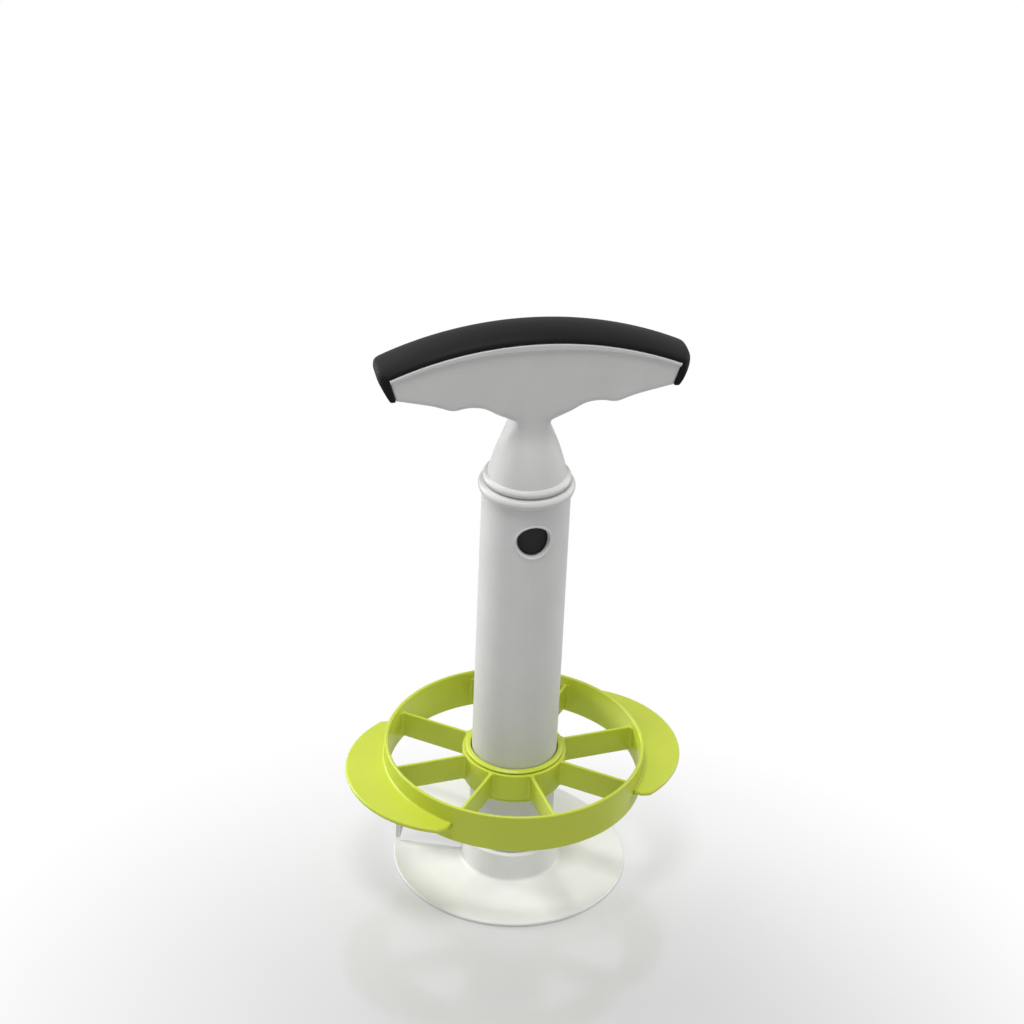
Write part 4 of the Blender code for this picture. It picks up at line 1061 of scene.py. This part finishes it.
def wing_fillet(side, level, direction):
    """Make the fillet between the band and a wing's face; it fades at both ends."""
    root = WEDGER_RADIUS - 2 * SEAT
    sections = []
    for share in shares(ARC_STEPS):
        fade = max(sin(pi * share), MERGE_DISTANCE / WING_FILLET) ** WING_FILLET_FADE
        size = WING_FILLET * fade
        curve = quarter(WEDGER_RADIUS + size, size, size, 180.0)
        section = [(root, -SEAT), (root, size), *curve, (WEDGER_RADIUS + size, -SEAT)]
        section = [(radius, level + direction * height) for radius, height in section]
        turn = WING_HALF_ANGLE * (2 * share - 1) + (0.0 if side == 1 else pi)
        sections.append(at_angle(section, turn))
    return loft("wing_fillet", sections)


def wedger_band():
    inner = WEDGER_RADIUS - WEDGER_WALL
    edges = (SMALL_EDGE, WEDGER_RIM)
    section = wall(WEDGER_RADIUS, inner, WEDGER_BOTTOM_Z, WEDGER_TOP_Z, *edges, WEDGER_DRAFT)
    band = turned("band_skin", section, RING_STEPS)
    level = WEDGER_TOP_Z - WING_DROP - WING_THICKNESS / 2
    half = WING_THICKNESS / 2
    for side in (1, -1):
        wing = plate("wing", wing_outline(side), half, lying_at(level), WING_ROUNDING)
        gather(band, wing, wing_fillet(side, level + half, 1), wing_fillet(side, level - half, -1))
    band.matrix_world = WEDGER_TURN
    return settle(even_shading(band))


def wedger_hub():
    hub = turned("hub_skin", rounded([
        (WEDGER_HUB_RADIUS, BLADE_TOP_Z, BLADE_TOP_ROUNDING),
        (WEDGER_HUB_RADIUS, WEDGER_HUB_BOTTOM_Z, SMALL_EDGE),
        (SLEEVE_OUTER_RADIUS + GAP, WEDGER_HUB_BOTTOM_Z, SMALL_EDGE),
        (SLEEVE_OUTER_RADIUS + GAP, BLADE_TOP_Z, SMALL_EDGE),
    ]))
    hub.matrix_world = WEDGER_TURN
    return settle(hub)


def wedger_sleeve():
    inner = TUBE_RADIUS + SLIDE_CLEARANCE
    flange_top = WEDGER_BOTTOM_Z + SLEEVE_FLANGE_HEIGHT
    bead_low = SLEEVE_TOP_Z - SLEEVE_FLANGE_HEIGHT
    return turned("sleeve_skin", rounded([
        (SLEEVE_OUTER_RADIUS, SLEEVE_TOP_Z, SMALL_EDGE / 2),
        (SLEEVE_BEAD_RADIUS, bead_low + SLEEVE_FLANGE_HEIGHT / 2, SMALL_EDGE / 2),
        (SLEEVE_BEAD_RADIUS, bead_low, SMALL_EDGE / 2),
        (SLEEVE_OUTER_RADIUS, bead_low, 0.0),
        (SLEEVE_OUTER_RADIUS, flange_top, 0.0),
        (SLEEVE_FLANGE_RADIUS, flange_top, SMALL_EDGE),
        (SLEEVE_FLANGE_RADIUS, WEDGER_BOTTOM_Z, SMALL_EDGE),
        (inner, WEDGER_BOTTOM_Z, SMALL_EDGE),
        (inner, SLEEVE_TOP_Z, SMALL_EDGE),
    ]))


def blade_section(swell):
    """Return a blade's section of (y, z) points, thicker by swell."""
    half = BLADE_THICKNESS / 2 + swell
    edge = BLADE_EDGE_THICKNESS / 2 + swell
    return rounded([
        (-half, BLADE_TOP_Z, BLADE_TOP_ROUNDING),
        (-half, BLADE_BOTTOM_Z + BLADE_EDGE_HEIGHT, 0.0),
        (-edge, BLADE_BOTTOM_Z, 0.0),
        (edge, BLADE_BOTTOM_Z, 0.0),
        (half, BLADE_BOTTOM_Z + BLADE_EDGE_HEIGHT, 0.0),
        (half, BLADE_TOP_Z, BLADE_TOP_ROUNDING),
    ])


def wedger_blade(index):
    """Make one radial blade, which flares at the hub and the band."""
    near = WEDGER_HUB_RADIUS - SEAT
    far = WEDGER_RADIUS - WEDGER_WALL - WEDGER_DRAFT + SEAT
    flare = [(0.0, BLADE_FILLET), *quarter(SEAT + BLADE_FILLET, BLADE_FILLET, BLADE_FILLET, 180.0)]
    rows = [(near + depth, swell) for depth, swell in flare]
    rows += [(far - depth, swell) for depth, swell in reversed(flare)]
    spin = WEDGER_TURN @ Matrix.Rotation(tau * index / BLADE_COUNT, 4, "Z")
    sections = [[spin @ Vector((x, y, z)) for y, z in blade_section(swell)] for x, swell in rows]
    return even_shading(loft("blade_skin_%d" % (index + 1), sections))


# Materials

def new_material(name):
    """Return a material, its node tree and its shader."""
    material = bpy.data.materials.new(name)
    material.use_nodes = True
    tree = material.node_tree
    return material, tree, tree.nodes["Principled BSDF"]


def node(tree, kind, output, inputs=None, **options):
    """Add a node with its options and inputs, and return one of its outputs."""
    added = set_all(tree.nodes.new("ShaderNode" + kind), **options)
    wire(tree, added, inputs or {})
    return added.outputs[output]


def wire(tree, target, inputs):
    """Link each input to another node's output, or set it to a plain value."""
    for key, value in inputs.items():
        if isinstance(value, bpy.types.NodeSocket):
            tree.links.new(value, target.inputs[key])
        else:
            target.inputs[key].default_value = value


def object_place(tree):
    return node(tree, "TexCoord", "Object")


def noise(tree, size, detail, stretch=(1.0, 1.0, 1.0)):
    """Return a noise whose blotches are about that size in metres."""
    place = node(tree, "Mapping", "Vector", {"Vector": object_place(tree), "Scale": stretch})
    return node(tree, "TexNoise", "Fac", {"Vector": place, "Scale": 1.0 / size, "Detail": detail})


def spread(tree, value, low, high, to_low=0.0, to_high=1.0):
    """Return the value mapped from one range to another."""
    limits = {"From Min": low, "From Max": high, "To Min": to_low, "To Max": to_high}
    return node(tree, "MapRange", "Result", {"Value": value, **limits})


def tint(tree, factor, low, high):
    """Return a colour between two; each may be a plain colour or a node's output."""
    low, high = (c if isinstance(c, bpy.types.NodeSocket) else (*c, 1.0) for c in (low, high))
    inputs = dict(zip(MIX_INPUTS, (factor, low, high)))
    return node(tree, "Mix", MIX_OUTPUT, inputs, data_type="RGBA")


def shade(colour, factor):
    return tuple(min(channel * factor, 1.0) for channel in colour)


def mark(tree, base, mask, colour, amount, factor):
    """Return the base with a shade of the plain colour laid over it by the mask."""
    return tint(tree, spread(tree, mask, 0.0, 1.0, 0.0, amount), base, shade(colour, factor))


def bump(tree, height, distance, strength, under=None):
    """Return a normal that is raised by the height, on top of another one."""
    inputs = {"Height": height, "Distance": distance, "Strength": strength}
    if under is not None:
        inputs["Normal"] = under
    return node(tree, "Bump", "Normal", inputs)


def edge_mask(tree):
    """Return 1 on rounded-off edges and 0 on open faces."""
    bevelled = node(tree, "Bevel", "Normal", {"Radius": EDGE_REACH}, samples=EDGE_SAMPLES)
    pair = {0: bevelled, 1: node(tree, "NewGeometry", "Normal")}
    likeness = node(tree, "VectorMath", "Value", pair, operation="DOT_PRODUCT")
    return spread(tree, likeness, *EDGE_LIKENESS, 1.0, 0.0)


def painted_crevice_shade(tree):
    """Return the mask of painted shade: 1 deep in narrow gaps and inner corners, and 0 elsewhere."""
    reach = {"Distance": CREVICE_REACH}
    openness = node(tree, "AmbientOcclusion", "AO", reach, samples=CREVICE_SAMPLES, only_local=True)
    return spread(tree, openness, *CREVICE_OPENNESS, 1.0, 0.0)


def moulded_plastic(name, colour, roughness, gloss, subsurface):
    """Moulded plastic: faint flow blotches, fine die grain, hairline scuffs, paler edges, and painted
    shade in narrow gaps and inner corners.
    """
    material, tree, shader = new_material(name)
    waves = noise(tree, *WAVES)
    scuffs = noise(tree, *SCUFFS)
    blotches = spread(tree, noise(tree, *BLOTCHES), *NOISE_RANGE)
    base = tint(tree, blotches, *(shade(colour, factor) for factor in BLOTCH_SHADES))
    base = mark(tree, base, edge_mask(tree), colour, *EDGE_SHADE)
    base = mark(tree, base, spread(tree, scuffs, *SCUFF_RANGE), colour, *SCUFF_SHADE)
    # painted shade: the colour turns darker in narrow gaps and inner corners, where shade falls
    base = mark(tree, base, painted_crevice_shade(tree), colour, *CREVICE_PAINTED_SHADE)
    low, high = (roughness + change for change in WAVES_ROUGHNESS)
    normal = bump(tree, waves, *WAVES_BUMP)
    normal = bump(tree, noise(tree, *GRAIN), *GRAIN_BUMP, normal)
    wire(tree, shader, {
        "Base Color": base,
        "Roughness": spread(tree, waves, *NOISE_RANGE, low, high),
        "Normal": bump(tree, scuffs, *SCUFFS_BUMP, normal),
        "IOR": PLASTIC_IOR,
        "Specular IOR Level": gloss,
        "Subsurface Weight": subsurface,
        "Subsurface Radius": SUBSURFACE_RADIUS,
        "Subsurface Scale": SUBSURFACE_SCALE,
    })
    return material


def soft_rubber(name, colour):
    """Soft rubber: fine stipple, cloudy bloom and a dull sheen."""
    material, tree, shader = new_material(name)
    clouds = noise(tree, *RUBBER_CLOUDS)
    bloom = spread(tree, clouds, *RUBBER_CLOUD_RANGE)
    base = tint(tree, bloom, *(shade(colour, factor) for factor in RUBBER_CLOUD_SHADES))
    cells = {"Vector": object_place(tree), "Scale": 1.0 / STIPPLE_SIZE}
    normal = bump(tree, node(tree, "TexVoronoi", "Distance", cells), *STIPPLE_BUMP)
    wire(tree, shader, {
        "Base Color": mark(tree, base, edge_mask(tree), colour, *RUBBER_EDGE_SHADE),
        "Roughness": spread(tree, clouds, *NOISE_RANGE, *RUBBER_ROUGHNESS),
        "Normal": bump(tree, noise(tree, *RUBBER_WAVES), *RUBBER_WAVES_BUMP, normal),
        "Specular IOR Level": RUBBER_GLOSS,
        "Sheen Weight": RUBBER_SHEEN,
        "Sheen Roughness": RUBBER_SHEEN_ROUGHNESS,
    })
    return material


def brushed_steel(name, colour):
    """Turned steel: fine tool marks and uneven polish."""
    material, tree, shader = new_material(name)
    marks = noise(tree, *STEEL_MARKS)
    lines = spread(tree, marks, *NOISE_RANGE)
    wire(tree, shader, {
        "Base Color": tint(tree, lines, *(shade(colour, factor) for factor in STEEL_SHADES)),
        "Roughness": spread(tree, marks, *NOISE_RANGE, *STEEL_ROUGHNESS),
        "Normal": bump(tree, marks, *STEEL_BUMP),
        "Metallic": 1.0,
    })
    return material


def all_materials():
    looks = {slot: moulded_plastic(*values) for slot, *values in PLASTICS}
    looks["grip_rubber"] = soft_rubber("grip_black", GRIP_BLACK)
    looks["steel"] = brushed_steel("steel_bright", STEEL_GREY)
    return looks


# Putting it together

def all_pieces():
    """Make each piece, and give its slot, its body and the nodes that it stands for."""
    yield core_tube(), "tube_plastic", "corer", "core_tube"
    for name, side in SIDES:
        yield hole_bead("bead_" + name, side), "tube_plastic", "corer"
    yield slicing_disc(), "disc_plastic", "corer", "slicing_base"
    yield handle_body(), "handle_plastic", "handle", "handle_body"
    yield handle_lip(), "handle_plastic", "handle"
    yield neck_ring(), "handle_plastic", "handle"
    yield tube_collar(), "handle_plastic", "handle", "tube_collar"
    yield soft_grip(), "grip_rubber", "handle", "soft_grip"
    for name, side in SIDES:
        button = release_button("button_%s_skin" % name, side)
        yield button, "button_plastic", name + "_button", "release_button_" + name
    for name, side in SIDES:
        yield plug_half("plug_skin_" + name, side), "inner_plastic", "handle", "plug_half_" + name
        yield cap_screw("cap_screw_skin_" + name, side), "steel", "handle", "cap_screw_" + name
    yield plug_cap(), "inner_plastic", "handle", "plug_cap"
    yield plug_screw(), "steel", "handle", "plug_screw"
    yield wedger_sleeve(), "wedger_plastic", "sleeve", "wedger_sleeve"
    yield wedger_hub(), "wedger_plastic", "wedger", "wedger_hub"
    yield wedger_band(), "wedger_plastic", "wedger", "wedger_ring"
    for index in range(BLADE_COUNT):
        yield wedger_blade(index), "wedger_plastic", "wedger", "wedger_blade_%d" % (index + 1)


def dress_pieces(looks):
    """Give each piece its material, tie it to its body and let it stand for its nodes."""
    for piece, slot, body, *nodes in all_pieces():
        piece.data.materials.clear()
        piece.data.materials.append(looks[slot])
        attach(piece, body)
        if nodes:
            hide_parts(*nodes)


def dress_nodes(frame, looks):
    """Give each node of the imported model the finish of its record's slot."""
    for part in frame["record"]["subparts"]:
        mesh = frame["nodes"][part["node"]].data
        mesh.materials.clear()
        mesh.materials.append(looks[part["material_slot"]])


# Floor, world, lights and camera

def add_floor():
    """Lay a pale, slightly glossy floor that turns white away from the object."""
    shape = bmesh.new()
    bmesh.ops.create_grid(shape, x_segments=2, y_segments=2, size=FLOOR_SIZE / 2)
    floor = skin("floor", shape)
    material, tree, shader = new_material("floor_white")
    ends = {0: object_place(tree), 1: FLOOR_CLEAR_CENTRE}
    distance = node(tree, "VectorMath", "Value", ends, operation="DISTANCE")
    away = spread(tree, distance, FLOOR_CLEAR_RADIUS, FLOOR_WHITE_RADIUS)
    wire(tree, shader, {
        "Base Color": (*FLOOR_GREY, 1.0),
        "Roughness": spread(tree, noise(tree, *FLOOR_PATTERN), *NOISE_RANGE, *FLOOR_ROUGHNESS),
        "IOR": FLOOR_IOR,
    })
    pair = {0: node(tree, "LightPath", "Is Camera Ray"), 1: away}
    seen = node(tree, "Math", "Value", pair, operation="MULTIPLY")
    blend = {"Fac": seen, 1: shader.outputs["BSDF"], 2: node(tree, "Emission", "Emission")}
    wire(tree, tree.nodes["Material Output"], {"Surface": node(tree, "MixShader", "Shader", blend)})
    floor.data.materials.append(material)


def set_world():
    """Show a white world to the camera and in reflections, with soft light."""
    world = bpy.data.worlds.new("studio")
    bpy.context.scene.world = world
    world.use_nodes = True
    tree = world.node_tree
    total = node(tree, "LightPath", "Is Camera Ray")
    rays = total.node.outputs
    for name in ("Is Glossy Ray", "Is Transmission Ray"):
        total = node(tree, "Math", "Value", {0: total, 1: rays[name]}, operation="MAXIMUM")
    wire(tree, tree.nodes["Background"], {
        "Color": (1.0, 1.0, 1.0, 1.0),
        "Strength": spread(tree, total, 0.0, 1.0, AMBIENT_STRENGTH, 1.0),
    })


def add_lights():
    for name, place, size, watts in LIGHTS:
        lamp = set_all(bpy.data.lights.new(name, "AREA"), shape="DISK", size=size, energy=watts)
        holder = add_object(name, lamp)
        holder.location = place
        aim = Vector(LIGHT_TARGET) - Vector(place)
        holder.rotation_euler = aim.to_track_quat("-Z", "Y").to_euler()


def add_camera():
    lens = bpy.data.cameras.new("camera")
    set_all(lens, lens=CAMERA_LENS_MM, sensor_width=CAMERA_SENSOR_MM)
    camera = add_object("camera", lens)
    turn = Matrix((CAMERA_RIGHT, CAMERA_UP, CAMERA_BACK)).transposed().to_4x4()
    camera.matrix_world = Matrix.Translation(CAMERA_PLACE) @ turn
    bpy.context.scene.camera = camera


def main():
    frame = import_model()
    looks = all_materials()
    dress_nodes(frame, looks)
    dress_pieces(looks)
    add_floor()
    set_world()
    add_lights()
    add_camera()
    bpy.context.scene.view_settings.view_transform = "Standard"


main()
